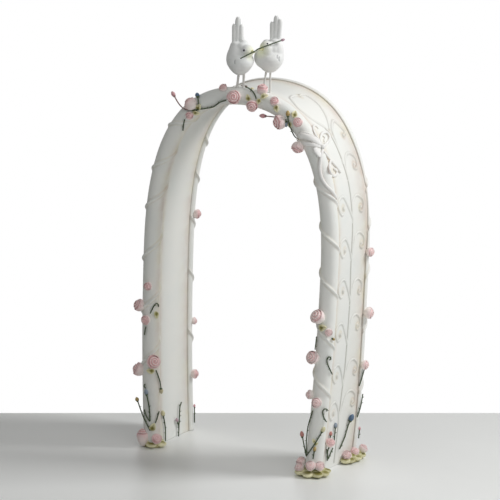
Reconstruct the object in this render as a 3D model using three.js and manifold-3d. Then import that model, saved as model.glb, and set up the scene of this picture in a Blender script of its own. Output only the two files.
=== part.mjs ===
// Wedding cake topper: a cast garden arch with moulded ribbon, roses, wire stems and two birds on its crown.
// Millimetres, +Z up. The origin is midway between the feet, on the surface that they stand on.
// The front is -Y.
import * as THREE from 'three';
import { mergeVertices } from 'three/addons/utils/BufferGeometryUtils.js';
import Module from 'manifold-3d';

const wasm = await Module();
wasm.setup();

// Arch centreline
const CROWN_HEIGHT = 213;
const SHOULDER_HEIGHT = 121;
const SHOULDER_HALF_SPAN = 56.5;
const FOOT_HALF_SPAN = 51.7;
const CROWN_FULLNESS = 0.67;

// Arch section: a fat front roll and a thin back bead, joined by a panel
const ARCH_DEPTH = 51.9;
const ROLL_RADIUS = 5;
const BEAD_RADIUS = 3.4;
const PANEL_THICKNESS = 4.4;

// Moulded ribbon that winds down the roll and the bead, and its bow
const RIBBON_FIRST = 75;
const RIBBON_PITCH = 28.5;
const RIBBON_TURNS = 5;
const RIBBON_LEAN = 14;
const RIBBON_RADIUS = 0.9;

// Scrollwork raised on both outer faces of the panel, as [down, across]: down is a share of the way from the
// crown to the foot, and across runs from -1 beside the roll to 1 beside the bead
const SCROLL_RADIUS = 1.1;
const SCROLL_SINK = 0.5;
const SCROLL_STEM = [
  [0.179, -0.18], [0.202, -0.06], [0.27, 0.05], [0.321, 0.14], [0.37, 0.15], [0.414, 0.15], [0.465, 0.08],
  [0.521, 0.06], [0.593, 0.11], [0.673, 0.11], [0.759, 0.1], [0.813, 0.03], [0.879, -0.01], [0.985, 0],
];
const SCROLL_HEART = [
  [0.179, -0.18], [0.152, -0.55], [0.117, -0.72], [0.086, -0.49], [0.078, -0.35], [0.076, -0.09],
  [0.084, 0.165],
];
const SCROLL_HEART_BACK = [
  [0.084, 0.165], [0.08, 0.31], [0.088, 0.51], [0.119, 0.54], [0.146, 0.42], [0.169, 0.25], [0.195, -0.03],
];
const SCROLL_SHOULDER = [
  [0.27, 0.02], [0.214, 0.08], [0.189, 0.19], [0.173, 0.54], [0.183, 0.71], [0.206, 0.85], [0.212, 0.65],
];

// Curls that branch from the stem of the scrollwork towards the roll and the bead, measured from their tops
const CURL_BRANCH = 0.058;
const FRONT_CURL = [
  [0.027, -0.12], [0, -0.405], [0.003, -0.72], [0.019, -0.84], [0.039, -0.62], [0.033, -0.44],
  [0.025, -0.48],
];
const FRONT_CURL_TOPS = [0.344, 0.442, 0.539, 0.644, 0.745, 0.835];
const BACK_CURL = [
  [0.025, 0.165], [0.004, 0.34], [0, 0.59], [0.01, 0.83], [0.025, 0.9], [0.039, 0.8], [0.035, 0.66],
  [0.029, 0.72],
];
const BACK_CURL_TOPS = [0.253, 0.352, 0.438, 0.549, 0.636, 0.745, 0.821];
const BOW_STATION = 54;
const BOW_STRAND_RADIUS = 1.1;
const BOW_KNOT_RADIUS = 2.4;
const BOW_KNOT_ANGLE = 10;
const BOW_KNOT_LIFT = 1;

// Fits
const CLEARANCE = 0.3;
const ROSE_SEAT = 0.55;
const BED_LIFT = 0.3;

// A bird's body is a pear that narrows upwards into the raised tail
const BODY_RADIUS = 7.9;
const BODY_BELLY = 8.5;
const BODY_NECK = 12.5;
const BODY_PROFILE = [
  [0, -1], [0.56, -0.85], [0.92, -0.4], [1, 0], [0.86, 0.36], [0.62, 0.66], [0.42, 0.92], [0, 1],
];
const HEAD_RADIUS = 3.6;
const BEAK_RADIUS = 1.4;
const TAIL_HALF_WIDTH = 2.9;
const TAIL_THICKNESS = 2.4;
const TAIL_OUTLINE = [[0.8, 0.3], [1, 0.55], [1, 0.815], [0.7, 0.84], [0.42, 0.8], [0.32, 0.96]];

// Where each bird stands, its head and beak tip as [ahead, up] from the body's middle, how high its tail
// reaches, and how far the tail is turned from the heading and set back
const LEFT_LEG_LENGTH = 6.6;
const RIGHT_LEG_LENGTH = 10.7;
const BIRD_SPACING = 1.68 * BODY_RADIUS;
const LEFT_BIRD = {
  station: -5.1,
  across: 0,
  rise: ROLL_RADIUS + LEFT_LEG_LENGTH + BODY_BELLY,
  heading: -10,
  head: [4.6, 6],
  beak: [10.2, 6.1],
  tailTip: 24.3,
  tailTurn: -53,
  tailBack: 2.6,
};
const RIGHT_BIRD = {
  station: LEFT_BIRD.station + BIRD_SPACING,
  across: 1.4 * BODY_RADIUS,
  rise: PANEL_THICKNESS / 2 + RIGHT_LEG_LENGTH + BODY_BELLY,
  heading: -98,
  head: [3.4, 7],
  beak: [11, 6.2],
  tailTip: 23.4,
  tailTurn: 30,
  tailBack: 4.6,
};

// Wire legs as [foot, hip], measured along the arch from the bird's middle
const LEG_RADIUS = 0.55;
const LEG_SOCKET = 2.4;
const LEFT_BIRD_LEGS = { left_bird_left_leg: [-0.8, -0.6], left_bird_right_leg: [2.9, 2.7] };
const RIGHT_BIRD_LEGS = { right_bird_left_leg: [-3.8, -2.1], right_bird_right_leg: [0.6, 0.6] };

// Stem that both beaks hold: its ends, measured from the left and the right beak tips
const HELD_STEM_START = new THREE.Vector3(-5.7, -6.5, -2.1);
const HELD_STEM_END = new THREE.Vector3(9.2, 10.6, 6.3);

// Wire stems
const WIRE_RADIUS = 0.5;
const BUD_RADIUS = 1.3;
const LARGE_BUD_RADIUS = 1.7;
const ROSE_BUD_RADIUS = 2.6;

// Leaves of the foot beds
const LEAF_LOBES = 9;
const LEAF_LOBE_DEPTH = 0.12;
const LEAF_HEIGHT = 5.4;
const LEAF_BEVEL = 1.6;
const BED_TOP = BED_LIFT + LEAF_HEIGHT;

// Foot beds: how far the leaves spread past the moulding, the offset of their middle as [out, back],
// and the roses as [x, y, height over the leaves, radius]
const LEFT_FRONT_BED = {
  spread: [4.5, 4.5],
  offset: [0, 0],
  roses: [[-4.2, -4.6, -1.2, 3.5], [5, -5, 0.4, 2.9]],
};
const RIGHT_FRONT_BED = {
  spread: [6, 6],
  offset: [0, 0],
  roses: [[-5.7, -5.7, -1, 2.7], [-6.6, -2.4, 1.7, 2.7], [1.9, -7.3, 1.5, 2.8], [6.2, -4.3, 1.3, 2.7]],
};
const LEFT_BACK_BED = {
  spread: [2.6, 9.6],
  offset: [5.8, -3.4],
  roses: [[-0.2, -8.4, -0.7, 2.6], [-0.6, 0.8, -0.7, 2.6], [-2.4, 8.2, -0.1, 2.6]],
};
const RIGHT_BACK_BED = {
  spread: [2.6, 9.6],
  offset: [5.8, -3.4],
  roses: [[0.2, -8.4, -0.7, 2.6], [0.6, 0.8, -0.7, 2.6], [2.4, 8.2, -0.1, 2.6]],
};

// A rose is a round bloom with a dimpled heart
const ROSE_PROFILE = [[0, -1], [0.75, -0.66], [1, 0], [0.86, 0.52], [0.5, 0.88], [0, 0.72]];

// Roses as [place along the arch, angle, radius]. On the crown the place is measured from the top, negative
// to the left; on the legs it is the height up from the foot. The angle goes round a moulding from
// outwards (0) through its free side (90) to inwards (180).
const CROWN_ROSES = [
  [-32.5, 66, 3.6],
  [-37.5, 110, 2.2],
  [-12.5, 30, 2.2],
  [-4.5, 87, 3.8],
  [9.5, 12, 3],
  [7, 117, 3.2],
  [19, 51, 2.4],
  [27.5, 132, 4],
  [36, 60, 2.6],
  [47.5, 141, 3.2],
];
const LEFT_ROSES = [
  [96, 99, 2.3],
  [83.5, 36, 3.5],
  [76, 90, 2.6],
  [51.5, 129, 3.9],
  [45.5, 24, 3.8],
];
const LEFT_BACK_ROSES = [
  [129.5, 162, 2.6],
  [65, 150, 2],
  [33.5, 165, 2.6],
];
const RIGHT_ROSES = [
  [94.5, 111, 4],
  [86, 51, 2.2],
  [70, 129, 3.7],
  [47.5, 144, 2.6],
  [44.5, 84, 2.9],
];
const RIGHT_BACK_ROSES = [
  [123.5, -10, 2.6],
  [87.5, 6, 3.2],
  [57, -4, 2.6],
];

// Values worked out from the driving sizes
const ROLL = { y: ROLL_RADIUS - ARCH_DEPTH / 2, radius: ROLL_RADIUS, free: -1 };
const BEAD = { y: ARCH_DEPTH / 2 - BEAD_RADIUS, radius: BEAD_RADIUS, free: 1 };
const PANEL_HALF = PANEL_THICKNESS / 2;
const PANEL_MIDDLE = ROLL_RADIUS - BEAD_RADIUS;
const PANEL_REACH = ARCH_DEPTH / 2 - ROLL_RADIUS - BEAD_RADIUS;
const OUTSIDE = 1;
const INSIDE = -1;
const WIRE_LIFT = WIRE_RADIUS + CLEARANCE;
const BOW_LIFT = BOW_STRAND_RADIUS + CLEARANCE;

// Mesh counts
const ARCH_STEPS = 48;
const ARC_SEGMENTS = 4;
const RIBBON_STEPS = 6;
const RIBBON_SIDES = 4;
const SCROLL_STEPS = 2;
const SCROLL_SIDES = 4;
const WIRE_SIDES = 5;
const WIRE_STEPS_PER_SPAN = 2;
const ROSE_SIDES = 8;
const BUD_SIDES = 6;
const BODY_SIDES = 12;
const HEAD_SIDES = 8;
const KNOT_SIDES = 8;
const RINGS_PER_SIDE = 0.75;
const LEAF_POINTS_PER_LOBE = 3;

// Trimming of the foot ends
const FOOT_TRIM = 3;
const GROUND_SIZE = 400;
const MERGE_TOLERANCE = 1e-4;

const UP = new THREE.Vector3(0, 0, 1);
const SHAPE_AXIS = new THREE.Vector3(0, 1, 0);
const FULL_SIZE = new THREE.Vector3(1, 1, 1);

function material(color, roughness, metalness = 0) {
  return new THREE.MeshStandardMaterial({ color, roughness, metalness });
}

function castWhite() {
  return material(0xf1efe8, 0.6);
}

function rosePink() {
  return material(0xeecfd2, 0.6);
}

function leafGreen() {
  return material(0xc5c985, 0.6);
}

function stemGreen() {
  return material(0x4b5c4c, 0.5);
}

function birdWhite() {
  return material(0xf3f2ef, 0.55);
}

function legWire() {
  return material(0xd9d7d2, 0.4, 0.6);
}

// A closed solid from a geometry, with its shared vertices merged and its collapsed triangles left out
function toSolid(geometry) {
  const bare = geometry.index ? geometry.toNonIndexed() : geometry.clone();
  for (const name of Object.keys(bare.attributes)) {
    if (name !== 'position') bare.deleteAttribute(name);
  }
  const merged = mergeVertices(bare, MERGE_TOLERANCE);
  const index = merged.index.array;
  const triangles = [];
  for (let i = 0; i < index.length; i += 3) {
    const [a, b, c] = [index[i], index[i + 1], index[i + 2]];
    if (a !== b && b !== c && c !== a) triangles.push(a, b, c);
  }
  return new wasm.Manifold(new wasm.Mesh({
    numProp: 3,
    vertProperties: new Float32Array(merged.attributes.position.array),
    triVerts: new Uint32Array(triangles),
  }));
}

function toGeometry(solid) {
  const mesh = solid.getMesh();
  const geometry = new THREE.BufferGeometry();
  geometry.setAttribute('position', new THREE.BufferAttribute(mesh.vertProperties, mesh.numProp));
  geometry.setIndex(new THREE.BufferAttribute(mesh.triVerts, 1));
  geometry.computeVertexNormals();
  return geometry;
}

function joined(solids) {
  return solids.reduce((whole, piece) => whole.add(piece));
}

// A piece cut to sit on the arch; a thin sliver that the cut leaves loose is dropped
function seated(solid, seat) {
  const bodies = solid.subtract(seat).decompose();
  return bodies.reduce((largest, body) => (body.volume() > largest.volume() ? body : largest));
}

function namedMesh(name, solid, look) {
  const mesh = new THREE.Mesh(toGeometry(solid), look);
  mesh.name = name;
  return mesh;
}

function placed(geometry, centre, facing) {
  const turn = new THREE.Quaternion().setFromUnitVectors(SHAPE_AXIS, facing);
  return toSolid(geometry.applyMatrix4(new THREE.Matrix4().compose(centre, turn, FULL_SIZE)));
}

// Right half of the arch path; below is the end of the straight run that is trimmed at the ground
function halfArch() {
  const foot = new THREE.Vector3(FOOT_HALF_SPAN, 0, 0);
  const bow = new THREE.Vector3(SHOULDER_HALF_SPAN, 0, SHOULDER_HEIGHT / 2);
  const shoulder = new THREE.Vector3(SHOULDER_HALF_SPAN, 0, SHOULDER_HEIGHT);
  const rise = SHOULDER_HEIGHT + CROWN_FULLNESS * (CROWN_HEIGHT - SHOULDER_HEIGHT);
  const haunch = new THREE.Vector3(SHOULDER_HALF_SPAN, 0, rise);
  const brow = new THREE.Vector3(CROWN_FULLNESS * SHOULDER_HALF_SPAN, 0, CROWN_HEIGHT);
  const crown = new THREE.Vector3(0, 0, CROWN_HEIGHT);
  const below = foot.clone().sub(bow).setLength(FOOT_TRIM).add(foot);
  return { below, foot, bow, shoulder, haunch, brow, crown };
}

function mirrored(point) {
  return new THREE.Vector3(-point.x, point.y, point.z);
}

// Arch path from the left foot to the right foot
function makeArchPath() {
  const right = halfArch();
  const left = Object.fromEntries(Object.entries(right).map(([key, point]) => [key, mirrored(point)]));
  const path = new THREE.CurvePath();
  path.add(new THREE.LineCurve3(left.below, left.foot));
  path.add(new THREE.QuadraticBezierCurve3(left.foot, left.bow, left.shoulder));
  path.add(new THREE.CubicBezierCurve3(left.shoulder, left.haunch, left.brow, left.crown));
  path.add(new THREE.CubicBezierCurve3(right.crown, right.brow, right.haunch, right.shoulder));
  path.add(new THREE.QuadraticBezierCurve3(right.shoulder, right.bow, right.foot));
  path.add(new THREE.LineCurve3(right.foot, right.below));
  return path;
}

const archPath = makeArchPath();
const ARCH_LENGTH = archPath.getLength();
const FOOT_STATION = ARCH_LENGTH / 2 - FOOT_TRIM;

// A station is measured along the arch from the crown, negative to the left
const crownStation = (along) => along;
const leftLeg = (height) => height - FOOT_STATION;
const rightLeg = (height) => FOOT_STATION - height;

function archFrame(station) {
  const share = 0.5 + station / ARCH_LENGTH;
  const along = archPath.getTangent(share);
  return { point: archPath.getPoint(share), along, outward: new THREE.Vector3(-along.z, 0, along.x) };
}

function radial(moulding, station, angle) {
  const turn = THREE.MathUtils.degToRad(angle);
  const direction = archFrame(station).outward.multiplyScalar(Math.cos(turn));
  direction.y = moulding.free * Math.sin(turn);
  return direction;
}

function onMoulding(moulding, station, angle, lift) {
  const point = archFrame(station).point;
  point.y = moulding.y;
  return point.addScaledVector(radial(moulding, station, angle), moulding.radius + lift);
}

const onRoll = (station, angle, lift = WIRE_LIFT) => onMoulding(ROLL, station, angle, lift);
const onBead = (station, angle, lift = WIRE_LIFT) => onMoulding(BEAD, station, angle, lift);

// A point over one face of the panel; across runs from -1 beside the roll to 1 beside the bead
function onPanel(station, across, side, lift = WIRE_LIFT) {
  const { point, outward } = archFrame(station);
  point.y = PANEL_MIDDLE + across * PANEL_REACH;
  return point.addScaledVector(outward, side * (PANEL_HALF + lift));
}

function circleShape(radius, sides) {
  const points = [];
  for (let i = 0; i < sides; i += 1) {
    const turn = (2 * Math.PI * i) / sides;
    points.push(new THREE.Vector2(radius * Math.cos(turn), radius * Math.sin(turn)));
  }
  return new THREE.Shape(points);
}

function tube(route, radius, sides, stepsPerSpan) {
  const path = new THREE.CatmullRomCurve3(route);
  const steps = (route.length - 1) * stepsPerSpan;
  return toSolid(new THREE.ExtrudeGeometry(circleShape(radius, sides), { steps, extrudePath: path }));
}

function ball(centre, radius, sides = BUD_SIDES) {
  const geometry = new THREE.SphereGeometry(radius, sides, Math.round(sides * RINGS_PER_SIDE));
  return toSolid(geometry.translate(centre.x, centre.y, centre.z));
}

function rodBetween(from, to, radius) {
  const span = to.clone().sub(from);
  const middle = from.clone().add(to).multiplyScalar(0.5);
  const geometry = new THREE.CylinderGeometry(radius, radius, span.length(), BUD_SIDES);
  return placed(geometry, middle, span.normalize());
}

// Section of the arch in (towards the front, towards the opening)
function archSection(grow) {
  const half = PANEL_HALF + grow;
  const roll = ROLL.radius + grow;
  const bead = BEAD.radius + grow;
  const rollMeet = Math.asin(half / roll);
  const beadMeet = Math.asin(half / bead);
  const shape = new THREE.Shape();
  shape.absarc(-ROLL.y, 0, roll, Math.PI - rollMeet, rollMeet - Math.PI, true);
  shape.absarc(-BEAD.y, 0, bead, -beadMeet, beadMeet - 2 * Math.PI, true);
  return shape;
}

function ribbonTurn(moulding, side, station, grow) {
  const meet = THREE.MathUtils.radToDeg(Math.asin(PANEL_HALF / moulding.radius));
  const first = meet - 90;
  const sweep = 360 - 2 * meet;
  const route = [];
  for (let i = 0; i <= RIBBON_STEPS; i += 1) {
    const angle = first + (sweep * i) / RIBBON_STEPS;
    const drop = (RIBBON_LEAN * (90 - angle)) / 180;
    route.push(onMoulding(moulding, side * (station + drop), angle, 0));
  }
  return tube(route, RIBBON_RADIUS + grow, RIBBON_SIDES, 1);
}

function ribbonTurns(grow) {
  const turns = [];
  for (const moulding of [ROLL, BEAD]) {
    for (const side of [-1, 1]) {
      for (let i = 0; i < RIBBON_TURNS; i += 1) {
        turns.push(ribbonTurn(moulding, side, RIBBON_FIRST + i * RIBBON_PITCH, grow));
      }
    }
  }
  return turns;
}

// Where the scrollwork's stem crosses the panel at a share of the way down
function stemAcross(down) {
  const next = Math.max(1, SCROLL_STEM.findIndex(([end]) => end >= down));
  const [[from, start], [to, end]] = [SCROLL_STEM[next - 1], SCROLL_STEM[next]];
  return THREE.MathUtils.mapLinear(down, from, to, start, end);
}

function scrollCurl(curl, top) {
  const branch = top + CURL_BRANCH;
  return [[branch, stemAcross(branch)], ...curl.map(([down, across]) => [top + down, across])];
}

function scrollRidge(side, stops, grow) {
  const spot = ([down, across]) => onPanel(side * down * FOOT_STATION, across, OUTSIDE, -SCROLL_SINK);
  return tube(stops.map(spot), SCROLL_RADIUS + grow, SCROLL_SIDES, SCROLL_STEPS);
}

function scrollRidges(grow) {
  const front = FRONT_CURL_TOPS.map((top) => scrollCurl(FRONT_CURL, top));
  const back = BACK_CURL_TOPS.map((top) => scrollCurl(BACK_CURL, top));
  const routes = [SCROLL_STEM, SCROLL_HEART, SCROLL_HEART_BACK, SCROLL_SHOULDER, ...front, ...back];
  return [-1, 1].flatMap((side) => routes.map((stops) => scrollRidge(side, stops, grow)));
}

function ground() {
  const depth = GROUND_SIZE / 2;
  return toSolid(new THREE.BoxGeometry(GROUND_SIZE, GROUND_SIZE, depth).translate(0, 0, -depth / 2));
}

// The cast arch, or the space that it needs when it is grown by a clearance
function archSolid(grow) {
  const options = { steps: ARCH_STEPS, curveSegments: ARC_SEGMENTS, extrudePath: archPath };
  const moulding = toSolid(new THREE.ExtrudeGeometry(archSection(grow), options));
  return joined([moulding, ...ribbonTurns(grow), ...scrollRidges(grow)]);
}

// A bird is shaped facing its own +X and then turned to its heading
function birdBody() {
  const profile = BODY_PROFILE.map(([out, up]) => {
    const reach = up < 0 ? BODY_BELLY : BODY_NECK;
    return new THREE.Vector2(out * BODY_RADIUS, up * reach);
  });
  return toSolid(new THREE.LatheGeometry(profile, BODY_SIDES).rotateX(Math.PI / 2));
}

function birdTail({ tailTip, tailTurn, tailBack }) {
  const right = TAIL_OUTLINE.map(([out, up]) => new THREE.Vector2(out * TAIL_HALF_WIDTH, up * tailTip));
  const left = right.map(({ x, y }) => new THREE.Vector2(-x, y)).reverse();
  const outline = new THREE.Shape([...right, new THREE.Vector2(0, tailTip), ...left]);
  const tail = new THREE.ExtrudeGeometry(outline, { depth: TAIL_THICKNESS, bevelEnabled: false });
  tail.rotateX(Math.PI / 2).rotateZ(Math.PI / 2).translate(-TAIL_THICKNESS / 2, 0, 0);
  return toSolid(tail.rotateZ(THREE.MathUtils.degToRad(tailTurn)).translate(-tailBack, 0, 0));
}

function birdBeak(head, tip) {
  const span = tip.clone().sub(head);
  const middle = head.clone().add(tip).multiplyScalar(0.5);
  return placed(new THREE.ConeGeometry(BEAK_RADIUS, span.length(), BUD_SIDES), middle, span.normalize());
}

function birdPose(bird) {
  const pose = new THREE.Matrix4().makeRotationZ(THREE.MathUtils.degToRad(bird.heading));
  const perch = archFrame(bird.station).point;
  return pose.setPosition(perch.x, ROLL.y + bird.across, CROWN_HEIGHT + bird.rise);
}

function ahead([forward, up]) {
  return new THREE.Vector3(forward, 0, up);
}

function birdSolid(bird) {
  const head = ahead(bird.head);
  const crest = ball(head, HEAD_RADIUS, HEAD_SIDES);
  const solid = joined([birdBody(), birdTail(bird), crest, birdBeak(head, ahead(bird.beak))]);
  return toSolid(toGeometry(solid).applyMatrix4(birdPose(bird)));
}

// A wire leg runs from a socket in the arch, at its foot, to a socket in the bird, at its hip
function legEnds(foot, hip) {
  const reach = hip.clone().sub(foot).setLength(LEG_SOCKET);
  return { low: foot.clone().sub(reach), high: hip.clone().add(reach) };
}

function legSolid({ low, high }) {
  return rodBetween(low, high, LEG_RADIUS);
}

function legSocket({ low, high }) {
  const spare = high.clone().sub(low).setLength(CLEARANCE);
  return rodBetween(low.clone().sub(spare), high.clone().add(spare), LEG_RADIUS + CLEARANCE);
}

function hipOf(bird, along) {
  const centre = new THREE.Vector3().setFromMatrixPosition(birdPose(bird));
  const belly = Math.sqrt(1 - (along / BODY_RADIUS) ** 2) * BODY_BELLY;
  return centre.add(new THREE.Vector3(along, 0, -belly));
}

function footOnPanel(along) {
  const point = onPanel(RIGHT_BIRD.station + along, 0, OUTSIDE, 0);
  point.y = ROLL.y + RIGHT_BIRD.across;
  return point;
}

function birdLegs() {
  const legs = [];
  for (const [name, [foot, hip]] of Object.entries(LEFT_BIRD_LEGS)) {
    legs.push([name, legEnds(onRoll(LEFT_BIRD.station + foot, 0, 0), hipOf(LEFT_BIRD, hip))]);
  }
  for (const [name, [foot, hip]] of Object.entries(RIGHT_BIRD_LEGS)) {
    legs.push([name, legEnds(footOnPanel(foot), hipOf(RIGHT_BIRD, hip))]);
  }
  return legs;
}

// The held stem lies across the tops of both beak tips and ends in a bud
function heldStem() {
  const [left, right] = [LEFT_BIRD, RIGHT_BIRD].map((bird) => ahead(bird.beak).applyMatrix4(birdPose(bird)));
  const over = (tip) => tip.clone().addScaledVector(UP, WIRE_LIFT);
  const end = right.clone().add(HELD_STEM_END);
  const route = [left.clone().add(HELD_STEM_START), over(left), over(right), end];
  return wire(route).add(ball(end, BUD_RADIUS));
}

function roseAt(centre, facing, radius) {
  const profile = ROSE_PROFILE.map(([out, up]) => new THREE.Vector2(out * radius, up * radius));
  return placed(new THREE.LatheGeometry(profile, ROSE_SIDES), centre, facing);
}

function mouldingRose(moulding, station, angle, radius) {
  const centre = onMoulding(moulding, station, angle, ROSE_SEAT * radius);
  return roseAt(centre, radial(moulding, station, angle), radius);
}

function lobedShape(halfWidth, halfDepth) {
  const count = LEAF_LOBES * LEAF_POINTS_PER_LOBE;
  const outline = [];
  for (let i = 0; i < count; i += 1) {
    const turn = (2 * Math.PI * i) / count;
    const reach = 1 - LEAF_LOBE_DEPTH + LEAF_LOBE_DEPTH * Math.cos(LEAF_LOBES * turn);
    outline.push(new THREE.Vector2(halfWidth * reach * Math.cos(turn), halfDepth * reach * Math.sin(turn)));
  }
  return new THREE.Shape(outline);
}

// A bed of leaves with a lobed edge round the foot of a moulding, and roses heaped on it
function footBed(moulding, side, { spread, offset, roses }) {
  const [halfWidth, halfDepth] = spread.map((past) => moulding.radius + past - LEAF_BEVEL);
  const options = {
    depth: LEAF_HEIGHT - 2 * LEAF_BEVEL,
    bevelThickness: LEAF_BEVEL,
    bevelSize: LEAF_BEVEL,
    bevelSegments: 1,
  };
  const centre = new THREE.Vector3(side * (FOOT_HALF_SPAN + offset[0]), moulding.y + offset[1], 0);
  const leaves = new THREE.ExtrudeGeometry(lobedShape(halfWidth, halfDepth), options);
  leaves.translate(centre.x, centre.y, BED_LIFT + LEAF_BEVEL);
  const blooms = roses.map(([x, y, over, radius]) => {
    const place = new THREE.Vector3(x, y, BED_TOP + over);
    const facing = new THREE.Vector3(x, y, place.z / 2).normalize();
    return roseAt(place.add(centre), facing, radius);
  });
  return joined([toSolid(leaves), ...blooms]);
}

function wire(route) {
  return tube(route, WIRE_RADIUS, WIRE_SIDES, WIRE_STEPS_PER_SPAN);
}

function budded(route, bud = BUD_RADIUS) {
  return wire(route).add(ball(route[route.length - 1], bud));
}

// Routes of wire, with rows of [place, angle, lift] on a moulding and [place, across, lift] on a panel
const crown = (...rows) => rows.map(([along, angle, lift]) => onRoll(along, angle, lift));
const leftRoll = (...rows) => rows.map(([height, angle, lift]) => onRoll(leftLeg(height), angle, lift));
const rightRoll = (...rows) => rows.map(([height, angle, lift]) => onRoll(rightLeg(height), angle, lift));
const leftBead = (...rows) => rows.map(([height, angle]) => onBead(leftLeg(height), angle));
const rightBead = (...rows) => rows.map(([height, angle]) => onBead(rightLeg(height), angle));
const leftPanel = (...rows) => rows.map(
  ([height, across, lift]) => onPanel(leftLeg(height), across, INSIDE, lift),
);
const rightPanel = (...rows) => rows.map(
  ([height, across, lift]) => onPanel(rightLeg(height), across, OUTSIDE, lift),
);

function crownStems() {
  return {
    crown_left_vine: [
      wire(crown([-36, 80], [-34, 99], [-29.5, 118], [-21.5, 139], [-15, 117], [-10.5, 107])),
      budded(crown([-34, 99], [-38, 62], [-39.2, 30, 3.5], [-39, 12, 9])),
    ],
    crown_blue_bud: [budded(crown([-29.2, 96], [-28, 69], [-28, 33, 1.5]))],
    crown_drop_vine: [wire(crown([-42, 108], [-45.5, 124], [-49, 141]))],
    crown_right_vine: [wire(crown([-0.6, 9], [3.1, 26], [6.5, 50], [8.7, 76]))],
    crown_pink_bud: [budded(crown([21.5, 165], [18, 165, 2], [14, 162, 3.2]))],
    crown_lower_vine: [budded(crown([41.5, 168], [39.5, 150], [35.5, 118], [31, 88], [29, 66]))],
  };
}

function leftLegStems() {
  return {
    left_leg_tendril: [wire(leftRoll([78, 112], [82, 123], [84, 142], [81.5, 156]))],
    left_leg_bud_stem: [budded(leftRoll([45, 152], [42, 165], [38, 182], [33, 196]))],
    left_foot_blue_stem: [budded(leftRoll([16.2, 108], [24.2, 104], [33, 88]))],
    left_foot_mustard_stem: [budded(leftRoll([10.4, 107], [18, 62], [28, 28, 3.4]))],
    left_foot_yellow_stem: [budded(leftPanel([0.8, -0.71], [9, -0.7], [17.6, -0.82]))],
    left_panel_stem: [
      wire(leftPanel([0.8, 0.22], [9, 0.34], [20, 0.48])),
      budded(leftPanel([4.6, 0.27], [7.5, 0.2, 1.2], [10, 0.11, 1.4])),
    ],
    left_back_bud_stem: [budded(leftBead([4.2, 171], [9, 168], [14, 160]))],
  };
}

function rightLegStems() {
  return {
    right_leg_tendril: [wire(rightRoll([61, 14], [66, 39], [70, 51], [72, 36]))],
    right_foot_spray: [
      wire(rightRoll([11.5, 123], [20, 146], [29.4, 138], [39, 107])),
      budded(rightRoll([11.5, 123], [17, 150, 1.8], [22.9, 158, 3.6])),
      budded(rightRoll([11.5, 123], [20.4, 72], [28.5, 33])),
    ],
    right_foot_tendril: [wire(rightRoll([33.5, 20], [37, 42], [40, 48], [42, 30]))],
    right_panel_rose_stem: [
      budded(rightPanel([BED_TOP + 0.8, -0.63], [12, -0.66], [18, -0.66, 2.4]), ROSE_BUD_RADIUS),
    ],
    right_panel_grey_bud: [budded(rightPanel([17, -0.29], [21, -0.3], [26, -0.31]))],
    right_panel_blue_stem: [
      budded(rightPanel([10, 0.19], [16, 0.45], [23, 0.62], [27, 0.71, 1.6]), LARGE_BUD_RADIUS),
    ],
    right_back_stem: [wire(rightBead([27, -34], [32, -8], [38, 24]))],
  };
}

// The moulded bow: two loops and two tails that leave one knot
function ribbonBow() {
  const roll = (along, angle) => onRoll(BOW_STATION + along, angle, BOW_LIFT);
  const panel = (along, across) => onPanel(BOW_STATION + along, across, OUTSIDE, BOW_LIFT);
  const frontLoop = [
    roll(0, 12), roll(-5, 36), roll(-9.5, 64), roll(-12.5, 92), roll(-9.5, 112), roll(-4, 74), roll(0, 40),
    roll(0.5, 14),
  ];
  const panelLoop = [
    roll(0, 8), panel(-5, -0.84), panel(-8.2, -0.69), panel(-5.5, -0.51), panel(-1.6, -0.64), roll(0.6, 4),
  ];
  const frontTail = [roll(0, 14), roll(5, 44), roll(10, 60), roll(16, 50), roll(20, 30), panel(23.5, -0.87)];
  const panelTail = [
    roll(0.4, 8), panel(5.5, -0.83), panel(11.5, -0.83), panel(14.5, -0.68), panel(12.5, -0.55),
    panel(9.8, -0.64),
  ];
  const routes = [frontLoop, panelLoop, frontTail, panelTail];
  const strands = routes.map((route) => tube(route, BOW_STRAND_RADIUS, WIRE_SIDES, WIRE_STEPS_PER_SPAN));
  const knot = ball(onRoll(BOW_STATION, BOW_KNOT_ANGLE, BOW_KNOT_LIFT), BOW_KNOT_RADIUS, KNOT_SIDES);
  return joined([knot, ...strands]);
}

function addBirds(topper, legs, sockets) {
  topper.add(namedMesh('left_bird', birdSolid(LEFT_BIRD).subtract(sockets), birdWhite()));
  topper.add(namedMesh('right_bird', birdSolid(RIGHT_BIRD).subtract(sockets), birdWhite()));
  for (const [name, ends] of legs) topper.add(namedMesh(name, legSolid(ends), legWire()));
  topper.add(namedMesh('beak_flower_stem', heldStem(), stemGreen()));
}

function addRoses(topper, seat) {
  const rows = [
    ['crown_rose', ROLL, crownStation, CROWN_ROSES],
    ['left_leg_rose', ROLL, leftLeg, LEFT_ROSES],
    ['left_back_rose', BEAD, leftLeg, LEFT_BACK_ROSES],
    ['right_leg_rose', ROLL, rightLeg, RIGHT_ROSES],
    ['right_back_rose', BEAD, rightLeg, RIGHT_BACK_ROSES],
  ];
  for (const [name, moulding, toStation, roses] of rows) {
    roses.forEach(([place, angle, radius], i) => {
      const rose = mouldingRose(moulding, toStation(place), angle, radius);
      topper.add(namedMesh(`${name}_${i + 1}`, seated(rose, seat), rosePink()));
    });
  }
}

function addStems(topper, seat) {
  const stems = { ...crownStems(), ...leftLegStems(), ...rightLegStems() };
  for (const [name, solids] of Object.entries(stems)) {
    topper.add(namedMesh(name, seated(joined(solids), seat), stemGreen()));
  }
}

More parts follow.
